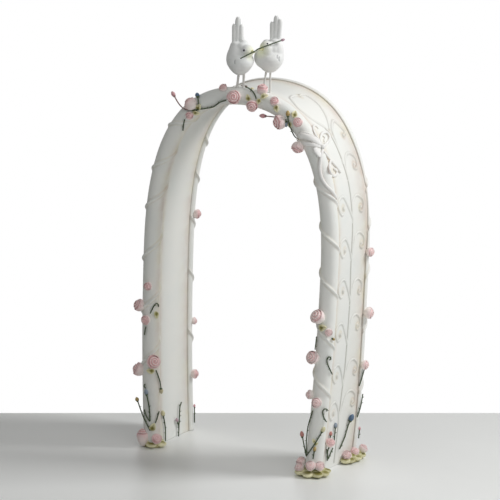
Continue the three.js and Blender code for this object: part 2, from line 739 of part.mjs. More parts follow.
function addBeds(topper, seat) {
  const beds = {
    left_front_rose_bed: footBed(ROLL, -1, LEFT_FRONT_BED),
    right_front_rose_bed: footBed(ROLL, 1, RIGHT_FRONT_BED),
    left_back_rose_bed: footBed(BEAD, -1, LEFT_BACK_BED),
    right_back_rose_bed: footBed(BEAD, 1, RIGHT_BACK_BED),
  };
  for (const [name, solid] of Object.entries(beds)) {
    topper.add(namedMesh(name, seated(solid, seat), leafGreen()));
  }
}

function makeTopper() {
  const topper = new THREE.Group();
  topper.name = 'wedding_cake_topper';
  const seat = archSolid(CLEARANCE);
  const legs = birdLegs();
  const sockets = joined(legs.map(([, ends]) => legSocket(ends)));
  topper.add(namedMesh('arch_frame', archSolid(0).subtract(ground()).subtract(sockets), castWhite()));
  topper.add(namedMesh('ribbon_bow', seated(ribbonBow(), seat), castWhite()));
  addBirds(topper, legs, sockets);
  addRoses(topper, seat);
  addStems(topper, seat);
  addBeds(topper, seat);
  return topper;
}

const group = makeTopper();
export default group;
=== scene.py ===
import math
import random

import bpy
import numpy as np
from mathutils import Matrix, Vector, kdtree

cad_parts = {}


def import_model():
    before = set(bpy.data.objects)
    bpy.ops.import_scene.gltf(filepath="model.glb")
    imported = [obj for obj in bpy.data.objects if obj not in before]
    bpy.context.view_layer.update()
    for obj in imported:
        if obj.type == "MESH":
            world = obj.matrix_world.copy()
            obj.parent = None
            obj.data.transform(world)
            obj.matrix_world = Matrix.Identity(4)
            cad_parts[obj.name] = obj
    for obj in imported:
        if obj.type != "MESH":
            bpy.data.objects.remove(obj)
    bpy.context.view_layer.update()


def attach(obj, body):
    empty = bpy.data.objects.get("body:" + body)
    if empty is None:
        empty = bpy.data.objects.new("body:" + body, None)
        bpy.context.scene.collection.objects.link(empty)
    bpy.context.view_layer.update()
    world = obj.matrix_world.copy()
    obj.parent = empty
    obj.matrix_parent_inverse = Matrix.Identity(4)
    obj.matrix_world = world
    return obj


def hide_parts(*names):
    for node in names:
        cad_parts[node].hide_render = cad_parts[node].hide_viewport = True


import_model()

# Lengths below are millimetres; MM turns them into metres
MM = 0.001
X_AXIS, Y_AXIS, Z_AXIS = np.eye(3)

# Arch: half outline in X and Z, and its section across the depth
CROWN_HEIGHT = 213
SHOULDER_HEIGHT = 121
SHOULDER_HALF_SPAN = 56.5
FOOT_HALF_SPAN = 51.7
CROWN_FULLNESS = 0.67
ROLL_Y, ROLL_RADIUS = -20.95, 5.0
BEAD_Y, BEAD_RADIUS = 22.55, 3.4
PANEL_HALF = 2.2
PANEL_MIDDLE, PANEL_REACH = 1.6, 17.55
ROLL_MEET = math.degrees(math.acos(PANEL_HALF / ROLL_RADIUS))
BEAD_MEET = math.degrees(math.acos(PANEL_HALF / BEAD_RADIUS))
PANEL_FRONT = ROLL_Y + ROLL_RADIUS * math.sin(math.radians(ROLL_MEET))
PANEL_BACK = BEAD_Y - BEAD_RADIUS * math.sin(math.radians(BEAD_MEET))
# Middle in Y, radius, and the side of Y that angles round it turn to
MOULDINGS = {"roll": (ROLL_Y, ROLL_RADIUS, -1), "bead": (BEAD_Y, BEAD_RADIUS, 1)}
# The right leg's back edge leans outward towards its foot, from this far along the arch
FLARE_START, FLARE_LENGTH, FLARE = 130, 100, 1.6

# What sits on the arch: a rose's middle stands off by a share of its radius, and wires by their lift
ROSE_SEAT = 0.55
WIRE_LIFT = 0.8
WIRE_RADIUS = 0.36
BED_TOP = 5.7

# Camera: its axes and place, and its focal length and middle in pixels of the square photo
VIEW_RIGHT = np.array([0.8885, 0.4571, 0.0395])
VIEW_UP = np.array([-0.141, 0.19, 0.9716])
VIEW_BACK = np.array([0.4366, -0.8689, 0.2333])
EYE = (1244.08, -2484.68, 786.32)
FOCAL, PICTURE_MIDDLE = 5000, 250


def unit(v):
    v = np.asarray(v, float)
    return v / np.linalg.norm(v, axis=-1, keepdims=True)


def square_to(v, axis):
    """The direction of what is left of v without its share along axis."""
    return unit(v - axis * np.dot(v, axis))


def lengths(line):
    """How far along a line each of its points lies."""
    return np.concatenate([[0], np.cumsum(np.linalg.norm(np.diff(line, axis=0), axis=1))])


def toward(right, up, back):
    """A direction given as it looks in the picture."""
    return unit(VIEW_RIGHT * right + VIEW_UP * up + VIEW_BACK * back)


def half_outline():
    t = np.linspace(0, 1, 600)[:, None]
    foot, shoulder = np.array([FOOT_HALF_SPAN, 0.0]), np.array([SHOULDER_HALF_SPAN, SHOULDER_HEIGHT])
    bend = np.array([SHOULDER_HALF_SPAN, SHOULDER_HEIGHT / 2])
    leg = (1 - t) ** 2 * foot + 2 * t * (1 - t) * bend + t**2 * shoulder
    rise = CROWN_HEIGHT - SHOULDER_HEIGHT
    low = np.array([SHOULDER_HALF_SPAN, SHOULDER_HEIGHT + CROWN_FULLNESS * rise])
    high = np.array([CROWN_FULLNESS * SHOULDER_HALF_SPAN, CROWN_HEIGHT])
    crown = np.array([0.0, CROWN_HEIGHT])
    bow = (1 - t) ** 3 * shoulder + 3 * t * (1 - t) ** 2 * low + 3 * t**2 * (1 - t) * high + t**3 * crown
    return np.vstack([leg, bow[1:]])[::-1]


# A station is a length along the arch from its crown, below zero on the left
OUTLINE = half_outline()
STATIONS = lengths(OUTLINE)
FOOT_STATION = STATIONS[-1]
SLOPES = np.gradient(OUTLINE, STATIONS, axis=0)


def left_leg(height):
    return height - FOOT_STATION


def right_leg(height):
    return FOOT_STATION - height


def arch_at(station):
    """Points, outward directions and downward directions of the arch's middle line."""
    s = np.atleast_1d(np.asarray(station, float))
    side = np.where(s < 0, -1.0, 1.0)
    a = np.abs(s)
    x, z = (np.interp(a, STATIONS, OUTLINE[:, i]) for i in (0, 1))
    tx, tz = (np.interp(a, STATIONS, SLOPES[:, i]) for i in (0, 1))
    size = np.hypot(tx, tz)
    tx, tz = tx / size, tz / size
    zero = np.zeros_like(x)
    point = np.stack([side * x, zero, z], -1)
    out = np.stack([-side * tz, zero, tx], -1)
    down = np.stack([side * tx, zero, tz], -1)
    return point, out, down


def ease(x):
    x = np.clip(x, 0, 1)
    return x * x * (3 - 2 * x)


def flare(station, y):
    low = ease((np.asarray(station, float) - FLARE_START) / FLARE_LENGTH)
    return FLARE * low * ease(np.asarray(y, float) / PANEL_BACK)


def project(points):
    """Pixels of the photo at which points show."""
    away = np.asarray(points, float) - np.array(EYE)
    scale = -FOCAL / (away @ VIEW_BACK)
    return PICTURE_MIDDLE + np.stack([scale * (away @ VIEW_RIGHT), -scale * (away @ VIEW_UP)], -1)


def surface(part, station, across):
    """Points of the roll or the bead (by angle) or of the panel's two sides (by y), and how they face."""
    point, away, _ = arch_at(station)
    if part in MOULDINGS:
        y, radius, free = MOULDINGS[part]
        turn = np.radians(across)[:, None]
        facing = away * np.cos(turn) + Y_AXIS * free * np.sin(turn)
        return point + Y_AXIS * y + facing * radius + away * flare(station, y)[:, None], facing
    facing = away if part == "outside" else -away
    bent = away * flare(station, across)[:, None]
    return point + facing * PANEL_HALF + Y_AXIS * np.asarray(across)[:, None] + bent, facing


def spot(part, station, across, lift):
    """A point over one face of the arch, and the way that the face looks there."""
    points, facing = surface(part, np.array([station]), np.array([across]))
    return points[0] + facing[0] * lift, facing[0]


# Angles, or places in y, between which each face is searched, and the first step
SEEN_RANGE = {
    "roll": (-60, 240, 4.0), "bead": (-45, 225, 4.0),
    "outside": (-16.4, 19.9, 1.0), "inside": (-16.4, 19.9, 1.0),
}
SEARCH_ROUNDS, SEARCH_FINER = 3, 4
# A face that looks less than this towards the camera is hidden, and hidden spots count as so many pixels off
EDGE_ON, HIDDEN = 0.03, 1000
SAME_PIXEL = 0.4


def seen_on(part, pixel):
    """Station and angle (or y) of the spot on the arch that shows at a pixel of the photo."""
    low, high, step = SEEN_RANGE[part]
    reach, pitch = FOOT_STATION - 1, 1.0
    tries = np.arange(-reach, reach, pitch), np.arange(low, high, step)
    near = np.linspace(-1.5, 1.5, 13)
    for _ in range(SEARCH_ROUNDS):
        s, a = (grid.ravel() for grid in np.meshgrid(*tries))
        a = a.clip(low, high)
        points, facing = surface(part, s, a)
        gap = np.linalg.norm(project(points) - np.asarray(pixel, float), axis=1)
        best = np.argmin(gap + HIDDEN * (facing @ VIEW_BACK < EDGE_ON))
        tries = s[best] + pitch * near, a[best] + step * near
        pitch, step = pitch / SEARCH_FINER, step / SEARCH_FINER
    return float(s[best]), float(a[best])


def spot_at(part, pixel, lift=WIRE_LIFT):
    return spot(part, *seen_on(part, pixel), lift)


def spot_on(pixel, lift):
    """The spot at a pixel on the roll, or on the panel's outside where the roll doesn't show."""
    point = spot_at("roll", pixel, 0.0)[0]
    on_roll = np.linalg.norm(project(point) - np.asarray(pixel, float)) < SAME_PIXEL
    return spot_at("roll" if on_roll else "outside", pixel, lift)


# Mesh helpers


def filled(value, *shape):
    """One value, or one for each place, as an array of this shape."""
    return np.broadcast_to(np.asarray(value, float), shape)


def sheet(rows, cols, start=-1):
    """Places down a sheet from 0 to 1, and across it from start to 1."""
    return np.linspace(0, 1, rows)[:, None], np.linspace(start, 1, cols)[None, :]


class Shape:
    """Collects closed shells, with one tone per point, into one mesh."""

    def __init__(self):
        self.points, self.faces, self.tones = [], [], []
        self.count = 0

    def add(self, points, faces, tone=0.0):
        points = np.asarray(points, float).reshape(-1, 3)
        self.points.append(points)
        self.faces += [[i + self.count for i in face] for face in faces]
        self.tones.append(filled(np.ravel(tone), len(points)))
        self.count += len(points)

    def mesh(self, name):
        mesh = bpy.data.meshes.new(name)
        mesh.from_pydata((np.concatenate(self.points) * MM).tolist(), [], self.faces)
        paint_points(mesh, "tone", np.concatenate(self.tones))
        mesh.shade_smooth()
        return mesh


def paint_points(mesh, name, values):
    """Keeps one number per point on the mesh, for its material to read."""
    layer = mesh.attributes.new(name, "FLOAT", "POINT")
    layer.data.foreach_set("value", np.asarray(values, np.float32))


def placed(name, data):
    obj = bpy.data.objects.new(name, data)
    bpy.context.scene.collection.objects.link(obj)
    return obj


def piece(name, mesh, material, slot, *nodes):
    if isinstance(mesh, Shape):
        mesh = mesh.mesh(name)
    mesh.materials.append(material)
    obj = placed(name, mesh)
    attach(obj, "root")
    if nodes:
        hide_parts(*nodes)


def grid_faces(rows, cols, around=False):
    faces = []
    for r in range(rows - 1):
        for c in range(cols if around else cols - 1):
            d = (c + 1) % cols
            faces.append([r * cols + c, r * cols + d, (r + 1) * cols + d, (r + 1) * cols + c])
    return faces


def shell(shape, grid, thickness, tone):
    """A closed sheet about a grid of points, as thick as asked."""
    rows, cols = grid.shape[:2]
    normal = np.cross(np.gradient(grid, axis=1), np.gradient(grid, axis=0))
    normal /= np.maximum(np.linalg.norm(normal, axis=-1, keepdims=True), 1e-9)
    half = filled(thickness, rows, cols)[..., None] / 2
    count = rows * cols
    faces = grid_faces(rows, cols)
    faces += [[i + count for i in face[::-1]] for face in grid_faces(rows, cols)]
    rim = list(range(cols)) + [r * cols + cols - 1 for r in range(1, rows)]
    rim += [(rows - 1) * cols + c for c in range(cols - 2, -1, -1)]
    rim += [r * cols for r in range(rows - 2, 0, -1)]
    for a, b in zip(rim, rim[1:] + rim[:1]):
        faces.append([b, a, a + count, b + count])
    tones = filled(tone, rows, cols)
    shape.add(np.stack([grid + normal * half, grid - normal * half]), faces, np.stack([tones, tones]))


def smooth_route(points, per):
    """A smooth line through the points, with per steps from each to the next."""
    points = np.asarray(points, float)
    if len(points) < 3:
        t = np.linspace(0, 1, per + 1)[:, None]
        return points[0] * (1 - t) + points[-1] * t
    ends = np.vstack([2 * points[0] - points[1], points, 2 * points[-1] - points[-2]])
    t = (np.arange(per) / per)[:, None]
    line = []
    for a, b, c, d in zip(ends, ends[1:], ends[2:], ends[3:]):
        bend = (2 * a - 5 * b + 4 * c - d) * t**2 + (3 * b - a - 3 * c + d) * t**3
        line.append(0.5 * (2 * b + (c - a) * t + bend))
    return np.vstack(line + [points[-1]])


def steady(axis):
    """An axis that isn't along the one given."""
    return Z_AXIS if abs(axis[2]) < 0.9 else X_AXIS


def carried_up(tangent):
    """Upward directions that turn as little as they can along a path."""
    ups = [square_to(steady(tangent[0]), tangent[0])]
    for ahead in tangent[1:]:
        ups.append(square_to(ups[-1], ahead))
    return np.array(ups)


def sweep(shape, path, radius, sides, flat=1.0, up=None, tone=0.0, rim=0.0):
    """A rounded rod along a path; flat below 1 thins it along up, and rim adds tone to its low sides as
    painted shade.
    """
    count = len(path)
    tangent = unit(np.gradient(path, axis=0))
    if up is None:
        up = carried_up(tangent)
    else:
        up = unit(up - tangent * np.sum(up * tangent, axis=1, keepdims=True))
    across = np.cross(tangent, up)
    angle = np.linspace(0, math.tau, sides, endpoint=False)
    radius = filled(radius, count)
    ring = across[:, None] * np.cos(angle)[:, None] + up[:, None] * np.sin(angle)[:, None] * flat
    points = path[:, None] + ring * radius[:, None, None]
    faces = grid_faces(count, sides, around=True)
    low, high = count * sides, count * sides + 1
    for c in range(sides):
        d = (c + 1) % sides
        faces.append([low, d, c])
        faces.append([high, (count - 1) * sides + c, (count - 1) * sides + d])
    tips = path[[0, -1]] + np.array([[-0.4], [0.4]]) * tangent[[0, -1]] * radius[[0, -1], None]
    tones = filled(tone, count)
    # Painted shade along the rod's low sides
    edge = rim * np.clip(0.55 - np.sin(angle), 0, 1)
    tones = np.concatenate([(tones[:, None] + edge).reshape(-1), tones[[0, -1]]])
    shape.add(np.concatenate([points.reshape(-1, 3), tips]), faces, tones)


def frame_about(axis, spin=0.0):
    axis = unit(axis)
    side = unit(np.cross(steady(axis), axis))
    over = np.cross(axis, side)
    c, s = math.cos(spin), math.sin(spin)
    return np.array([side * c + over * s, over * c - side * s, axis])


def polar(radius, turn, height):
    return np.stack(np.broadcast_arrays(radius * np.cos(turn), radius * np.sin(turn), height), -1)


def rings(profile, sides, size=(1, 1, 1)):
    """Level rings of points, one for each pair of radius and height, scaled by size."""
    radius, height = np.array(profile, float).T[..., None]
    return polar(radius, np.linspace(0, math.tau, sides, endpoint=False), height) * np.array(size, float)


def ball(rows, gap):
    """Profile of a ball whose ends are open by a small angle."""
    fall = np.linspace(gap, math.pi - gap, rows)
    return np.stack([np.sin(fall), -np.cos(fall)], -1)


def closed(shape, layers, tone=0.0):
    """A form through rings of points, closed at both ends."""
    rows, sides = layers.shape[:2]
    ends = [list(range(sides))[::-1], [(rows - 1) * sides + k for k in range(sides)]]
    shape.add(layers, grid_faces(rows, sides, around=True) + ends, tone)


def lathe(shape, centre, axis, profile, sides, tone):
    """A turned form: profile holds pairs of radius and height from the bottom to the top."""
    tones = filled(tone, len(profile))
    closed(shape, rings(profile, sides) @ frame_about(axis) + centre, np.repeat(tones, sides))


def bell(x, width):
    return np.exp(-((x / width) ** 2))


# Materials


def add_node(tree, kind, **settings):
    node = tree.nodes.new("ShaderNode" + kind)
    for name, value in settings.items():
        node.inputs[name].default_value = value
    return node


class Paint:
    """A matt painted finish built from nodes."""

    def __init__(self, name, roughness, specular):
        self.material = bpy.data.materials.new(name)
        self.material.use_nodes = True
        self.tree = self.material.node_tree
        self.shader = self.tree.nodes["Principled BSDF"]
        self.shader.inputs["Roughness"].default_value = roughness
        self.shader.inputs["Specular IOR Level"].default_value = specular
        self.coords = add_node(self.tree, "TexCoord").outputs["Object"]

    def link(self, out, socket):
        self.tree.links.new(out, socket)

    def noise(self, scale, detail=3.0):
        node = add_node(self.tree, "TexNoise", Scale=scale, Detail=detail, Roughness=0.55)
        self.link(self.coords, node.inputs["Vector"])
        return node.outputs["Fac"]

    def tone(self, name="tone"):
        node = add_node(self.tree, "Attribute")
        node.attribute_name = name
        return node.outputs["Fac"]

    def ramp(self, fac, *stops):
        node = add_node(self.tree, "ValToRGB")
        ramp = node.color_ramp
        while len(ramp.elements) < len(stops):
            ramp.elements.new(0.5)
        for element, (position, colour) in zip(ramp.elements, stops):
            element.position = position
            element.color = (*colour, 1)
        self.link(fac, node.inputs["Fac"])
        return node.outputs["Color"]

    def grey(self, fac, *stops):
        return self.ramp(fac, *[(position, (value,) * 3) for position, value in stops])

    def mix(self, fac, a, b):
        node = add_node(self.tree, "Mix")
        node.data_type = "RGBA"
        for name, value in (("Factor", fac), ("A", a), ("B", b)):
            socket = next(s for s in node.inputs if s.name == name and s.enabled)
            if isinstance(value, tuple):
                socket.default_value = (*value, 1)
            else:
                self.link(value, socket)
        return next(s for s in node.outputs if s.enabled)

    def math(self, operation, a, b):
        node = add_node(self.tree, "Math")
        node.operation = operation
        for socket, value in zip(node.inputs, (a, b)):
            if isinstance(value, float):
                socket.default_value = value
            else:
                self.link(value, socket)
        return node.outputs[0]

    def bump(self, height, strength, distance):
        node = add_node(self.tree, "Bump", Strength=strength, Distance=distance * MM)
        self.link(height, node.inputs["Height"])
        self.link(node.outputs["Normal"], self.shader.inputs["Normal"])

    def done(self, colour):
        self.link(colour, self.shader.inputs["Base Color"])
        return self.material


def bisque(name, ivory, cool, wash, accent, mark, mark_colour):
    """Matt unglazed white; tone brings the wash, and mark names the attribute of a second paint; both can be
    painted shade.
    """
    paint = Paint(name, 0.62, 0.3)
    base = paint.mix(paint.grey(paint.noise(45), (0.4, 0), (0.65, 1)), ivory, cool)
    stain = paint.mix(paint.grey(paint.noise(70), (0.42, 0), (0.58, 1)), wash, accent)
    patch = paint.grey(paint.noise(160, 4), (0.25, 0.45), (0.6, 1))
    colour = paint.mix(paint.math("MULTIPLY", paint.tone(), patch), base, stain)
    colour = paint.mix(paint.tone(mark), colour, mark_colour)
    paint.bump(paint.noise(900, 2), 0.25, 0.12)
    return paint.done(colour)


def rose_paint(name, heart, middle, pale, cream):
    paint = Paint(name, 0.55, 0.3)
    spread = paint.math("ADD", paint.tone(), paint.math("MULTIPLY", paint.noise(300), 0.2))
    shifted = paint.math("SUBTRACT", spread, 0.1)
    colour = paint.ramp(shifted, (0.0, heart), (0.35, middle), (0.65, pale), (1.0, cream))
    paint.bump(paint.noise(1400, 2), 0.2, 0.08)
    return paint.done(colour)


def mottled(name, dark, light, scale=260, roughness=0.55):
    """Paint that runs unevenly from dark, at tone 0, to light."""
    paint = Paint(name, roughness, 0.35)
    blend = paint.math("ADD", paint.tone(), paint.math("MULTIPLY", paint.noise(scale), 0.6))
    colour = paint.ramp(paint.math("SUBTRACT", blend, 0.3), (0.0, dark), (1.0, light))
    paint.bump(paint.noise(scale * 4, 2), 0.3, 0.1)
    return paint.done(colour)


# The arch's line colour is painted shade, in the grooves by the bead and beside the scroll work
CAST = bisque(
    "bisque_ivory", (0.87, 0.872, 0.84), (0.84, 0.855, 0.83), (0.6, 0.47, 0.38), (0.66, 0.57, 0.38),
    "line", (0.36, 0.34, 0.3),
)
# The bow's wash is painted shade along its strands' low sides
BOW_WHITE = bisque(
    "bow_white", (0.88, 0.875, 0.85), (0.85, 0.84, 0.83), (0.7, 0.5, 0.45), (0.68, 0.56, 0.42),
    "line", (0.5, 0.4, 0.36),
)
# The birds' wash is painted shade under the belly and between tail feathers, and dark paint in the wing
# grooves; face is the painted face
BIRD = bisque(
    "bird_white", (0.87, 0.875, 0.865), (0.83, 0.845, 0.84), (0.26, 0.3, 0.29), (0.3, 0.31, 0.32),
    "face", (0.93, 0.95, 0.7),
)
ROSE = rose_paint("rose_pink", (0.74, 0.42, 0.43), (0.9, 0.62, 0.62), (0.93, 0.77, 0.76), (0.93, 0.87, 0.83))
LEAF = mottled("leaf_green", (0.23, 0.21, 0.05), (0.92, 0.88, 0.6), 320)
STEM = mottled("stem_green", (0.025, 0.04, 0.02), (0.13, 0.18, 0.085), 500)
BROWN_STEM = mottled("stem_mauve", (0.2, 0.1, 0.1), (0.46, 0.3, 0.28), 500)
LEG = mottled("leg_white", (0.62, 0.61, 0.58), (0.86, 0.85, 0.83), 400)
BEAK = mottled("beak_olive", (0.42, 0.4, 0.16), (0.84, 0.82, 0.52), 300)
EYE_BLACK = mottled("eye_black", (0.006, 0.006, 0.008), (0.03, 0.03, 0.035), 800, 0.25)
# Painted shade of an eye's socket, as a ring round the pupil
EYE_SOCKET_SHADE = mottled("eye_socket_shade", (0.5, 0.48, 0.54), (0.72, 0.7, 0.75), 800)
BUD_COLOURS = {
    "blue": ((0.03, 0.06, 0.12), (0.16, 0.24, 0.35)),
    "pink": ((0.5, 0.2, 0.24), (0.82, 0.55, 0.55)),
    "red": ((0.36, 0.11, 0.1), (0.68, 0.34, 0.3)),
    "straw": ((0.42, 0.36, 0.2), (0.7, 0.64, 0.44)),
    "ochre": ((0.26, 0.17, 0.05), (0.64, 0.48, 0.22)),
    "yellow": ((0.56, 0.52, 0.28), (0.8, 0.77, 0.54)),
    "grey": ((0.14, 0.18, 0.24), (0.42, 0.48, 0.56)),
    "mauve": ((0.34, 0.2, 0.26), (0.66, 0.5, 0.55)),
}
BUDS = {name: mottled("bud_" + name, *colours) for name, colours in BUD_COLOURS.items()}


# Arch skin: one swept surface with the ribbon ridges and the scroll relief raised on it

SKIN_ROWS = 1081
# The rows stop a little over the ground, and the last one is carried straight down to it
FOOT_MARGIN = 0.6
PANEL_HOLLOW = 0.5
# Places once round the section: the panel's outside in y, the bead by angle, the inside and the roll
OUTER = np.linspace(PANEL_FRONT, PANEL_BACK, 112)
BEAD_TURN = np.linspace(-BEAD_MEET, 180 + BEAD_MEET, 90)[1:-1]
INNER = np.linspace(PANEL_BACK, PANEL_FRONT, 32)
ROLL_TURN = np.linspace(180 + ROLL_MEET, -ROLL_MEET, 60)[1:-1]
BOUNDS = np.cumsum([0, len(OUTER), len(BEAD_TURN), len(INNER), len(ROLL_TURN)])
OUTSIDE, BEAD, INSIDE, ROLL = (slice(low, high) for low, high in zip(BOUNDS, BOUNDS[1:]))

# The panel's outside rises to a groove, which runs at these angles on the bead along the arch
LIP_START = 13.0
GROOVE_STATIONS = [55, 70, 85, 100, 125, 240]
GROOVE_ANGLES = [-42, -30, -10, -20, -42, -46]
ROLL_GROOVE, BEAD_GROOVE, INNER_GROOVE = 0.35, 0.5, 0.45
GROOVE_WIDTH, GROOVE_TURN = 0.7, 7

# Ribbon: height, half width, lean in mm per degree, degrees over which it fades out at the moulding's edges,
# and the stations of its turns on the right and the left
RIBBON_HEIGHT, RIBBON_WIDTH, RIBBON_LEAN = 0.95, 1.0, 0.078
RIBBON_FADE = 14
ROLL_RIBBON = {1: [76, 102, 129, 159, 187.5], -1: [47, 74, 97, 127, 158, 190]}
BEAD_RIBBON = {side: [75, 98, 125, 157, 193] for side in (1, -1)}

# Scroll work as stations and places in y; the hooks' stations count from their tops
SCROLL_STEM = [
    (43.5, -1.5), (49, 0.5), (65.5, 2.5), (78, 4), (90, 4.2), (100.5, 4.2), (113, 3), (126.5, 2.6),
    (144, 3.6), (163.5, 3.5), (184.5, 3.3), (197.5, 2.2), (213.5, 1.4), (224.5, 1.5), (240, 1.5),
]
SCROLL_HEART = [
    [(43.5, -1.5), (37, -8), (28.5, -11), (21, -7), (19, -4.5), (18.5, 0), (20.5, 4.5)],
    [(20.5, 4.5), (19.5, 7), (21.5, 10.5), (29, 11), (35.5, 9), (41, 6), (47.5, 1)],
    [(65.5, 2), (52, 3), (46, 5), (42, 11), (44.5, 14), (50, 16.6), (51.5, 13)],
]
FRONT_HOOK = [(6.5, -0.5), (0, -5.5), (0.8, -11), (4.5, -13.2), (9.5, -9.3), (8, -6.2), (6, -6.8)]
BACK_HOOK = [(6, 4.5), (1, 7.5), (0, 12), (2.5, 16.2), (6, 17.4), (9.5, 15.6), (8.5, 13.2), (7, 14.3)]
FRONT_HOOK_TOPS = [83.5, 107.5, 131, 156.5, 181, 203]
BACK_HOOK_TOPS = [61.5, 85.5, 106.5, 133.5, 154.5, 181, 199.5]
HOOK_BRANCH = 14
# No scroll work nearer to the crown than this
SCROLL_START = 16
STEM_HEIGHT, HOOK_HEIGHT, SCROLL_HALF_WIDTH = 0.5, 0.6, 0.8
# The painted shade beside the scroll work, a dark line: how far off it lies, its half width and where it
# ends
SHADE_LINE_GAP, SHADE_LINE_WIDTH, LINE_END = 0.85, 0.34, 2.2
# The drop at a curl's end, and how far round it its wash goes
DROP_HEIGHT, DROP_RADIUS, DROP_END = 0.9, 1.4, 4


def scroll_lines():
    """Lines of the scrollwork with their height and the strength of the painted shade before and behind
    them.
    """
    # The stem's painted shade lies mostly on its front side, away from the light
    lines = [(smooth_route([(s, y, 0) for s, y in SCROLL_STEM], 40), STEM_HEIGHT, 0.75, 0.15)]
    for part in SCROLL_HEART:
        lines.append((smooth_route([(s, y, 0) for s, y in part], 30), HOOK_HEIGHT, 0.4, 0.4))
    stem_s, stem_y = zip(*SCROLL_STEM)
    for tops, hook in ((FRONT_HOOK_TOPS, FRONT_HOOK), (BACK_HOOK_TOPS, BACK_HOOK)):
        for top in tops:
            start = (top + HOOK_BRANCH, float(np.interp(top + HOOK_BRANCH, stem_s, stem_y)), 0)
            line = smooth_route([start] + [(top + s, y, 0) for s, y in hook], 20)
            lines.append((line, HOOK_HEIGHT, 0.3, 0.3))
    return lines


def scroll_tree():
    """A search tree of the scroll work's points, what each one carries, and where the curls end."""
    lines = scroll_lines()
    tree = kdtree.KDTree(sum(len(line[0]) for line in lines))
    facts = []
    for line, *carried in lines:
        for point in line:
            tree.insert(Vector(point), len(facts))
            facts.append(carried)
    tree.balance()
    return tree, facts, [line[0][-1][:2] for line in lines[1:]]


def section():
    """Distance outward, y, and the way that relief pushes outward and in y, for each place."""
    bead, roll = np.radians(BEAD_TURN), np.radians(ROLL_TURN)
    flat, under = np.ones(len(OUTER)), np.ones(len(INNER))
    hollow = PANEL_HOLLOW * (1 - ((INNER - PANEL_MIDDLE) / PANEL_REACH) ** 2).clip(0)
    out = [PANEL_HALF * flat, BEAD_RADIUS * np.cos(bead), hollow - PANEL_HALF, ROLL_RADIUS * np.cos(roll)]
    y = [OUTER, BEAD_Y + BEAD_RADIUS * np.sin(bead), INNER, ROLL_Y - ROLL_RADIUS * np.sin(roll)]
    push_out = [flat, np.cos(bead), -under, np.cos(roll)]
    push_y = [0 * flat, np.sin(bead), 0 * under, -np.sin(roll)]
    return [np.concatenate(parts) for parts in (out, y, push_out, push_y)]


class Skin:
    """Rows along the arch by places round its section: distance outward, relief, wash and painted shade."""

    def __init__(self):
        end = FOOT_STATION - FOOT_MARGIN
        self.stations = np.linspace(-end, end, SKIN_ROWS)
        self.along = np.abs(self.stations)[:, None]
        self.out = np.tile(section()[0], (SKIN_ROWS, 1))
        self.raised, self.wash, self.dark = np.zeros((3, *self.out.shape))


def skin_grooves(skin):
    """Grooves where the panel meets the roll and the bead, with the wash that lies in them and painted shade
    by the bead.
    """
    groove = np.interp(skin.along, GROOVE_STATIONS, GROOVE_ANGLES)
    shelf = BEAD_RADIUS * np.cos(np.radians(groove))
    skin.out[:, OUTSIDE] += (shelf - PANEL_HALF) * ease((OUTER - LIP_START) / (PANEL_BACK - LIP_START))
    crest = skin.out[:, BEAD]
    skin.out[:, BEAD] = np.where(BEAD_TURN < groove, np.maximum(crest, shelf), crest)
    deep = ((-groove - 30) / 12).clip(0, 1)
    faint = INNER_GROOVE * ((skin.along - 40) / 90).clip(0.3, 1)
    for part, y, depth in ((OUTSIDE, OUTER, 0.0), (INSIDE, INNER, faint)):
        off_roll, off_bead = y - PANEL_FRONT, PANEL_BACK - y
        skin.raised[:, part] -= ROLL_GROOVE * bell(off_roll, GROOVE_WIDTH)
        skin.raised[:, part] -= depth * bell(off_bead, GROOVE_WIDTH)
        skin.wash[:, part] += 0.2 * np.exp(-off_roll / GROOVE_WIDTH) + 0.75 * bell(off_roll, 4.2)
        skin.wash[:, part] += 0.7 * np.exp(-off_bead / 5)
        # Painted shade: a dark line in the groove by the bead
        skin.dark[:, part] += 1.3 * depth * np.exp(-off_bead / 0.6)
    # Painted shade by the bead on the outside, where the groove is deep
    skin.dark[:, OUTSIDE] += 0.3 * deep * np.exp(-(PANEL_BACK - OUTER) / 0.5)
    past = BEAD_TURN - groove
    skin.raised[:, BEAD] -= BEAD_GROOVE * bell(past, GROOVE_TURN)
    # Painted shade in the bead's groove
    skin.dark[:, BEAD] += 0.6 * bell(past - 1, GROOVE_TURN)
    skin.wash[:, BEAD] += 0.5 * bell(past, 13) + 0.3 * bell(past + 20, 20)
    skin.wash[:, ROLL] += 0.5 * bell(ROLL_TURN - 176, 34)


def skin_ribbon(skin):
    """The moulded ribbon that winds down the roll and the bead."""
    left = (skin.stations < 0)[:, None]
    ribbons = ((BEAD, BEAD_TURN, BEAD_RIBBON, BEAD_MEET), (ROLL, ROLL_TURN, ROLL_RIBBON, ROLL_MEET))
    for part, angle, turns, limit in ribbons:
        edge = np.minimum(angle + limit, 180 + limit - angle)
        for side, line in turns.items():
            fade = np.clip(edge / RIBBON_FADE, 0, 1) * (left if side < 0 else ~left)
            for turn in line:
                off = skin.along - (turn - (angle - 90) * RIBBON_LEAN)
                skin.raised[:, part] += RIBBON_HEIGHT * fade * bell(off, RIBBON_WIDTH)
                skin.wash[:, part] += 0.28 * fade * bell(np.abs(off) - 1.5, 0.6)
        skin.wash[:, part] += 0.3 * np.exp(-edge / 12)


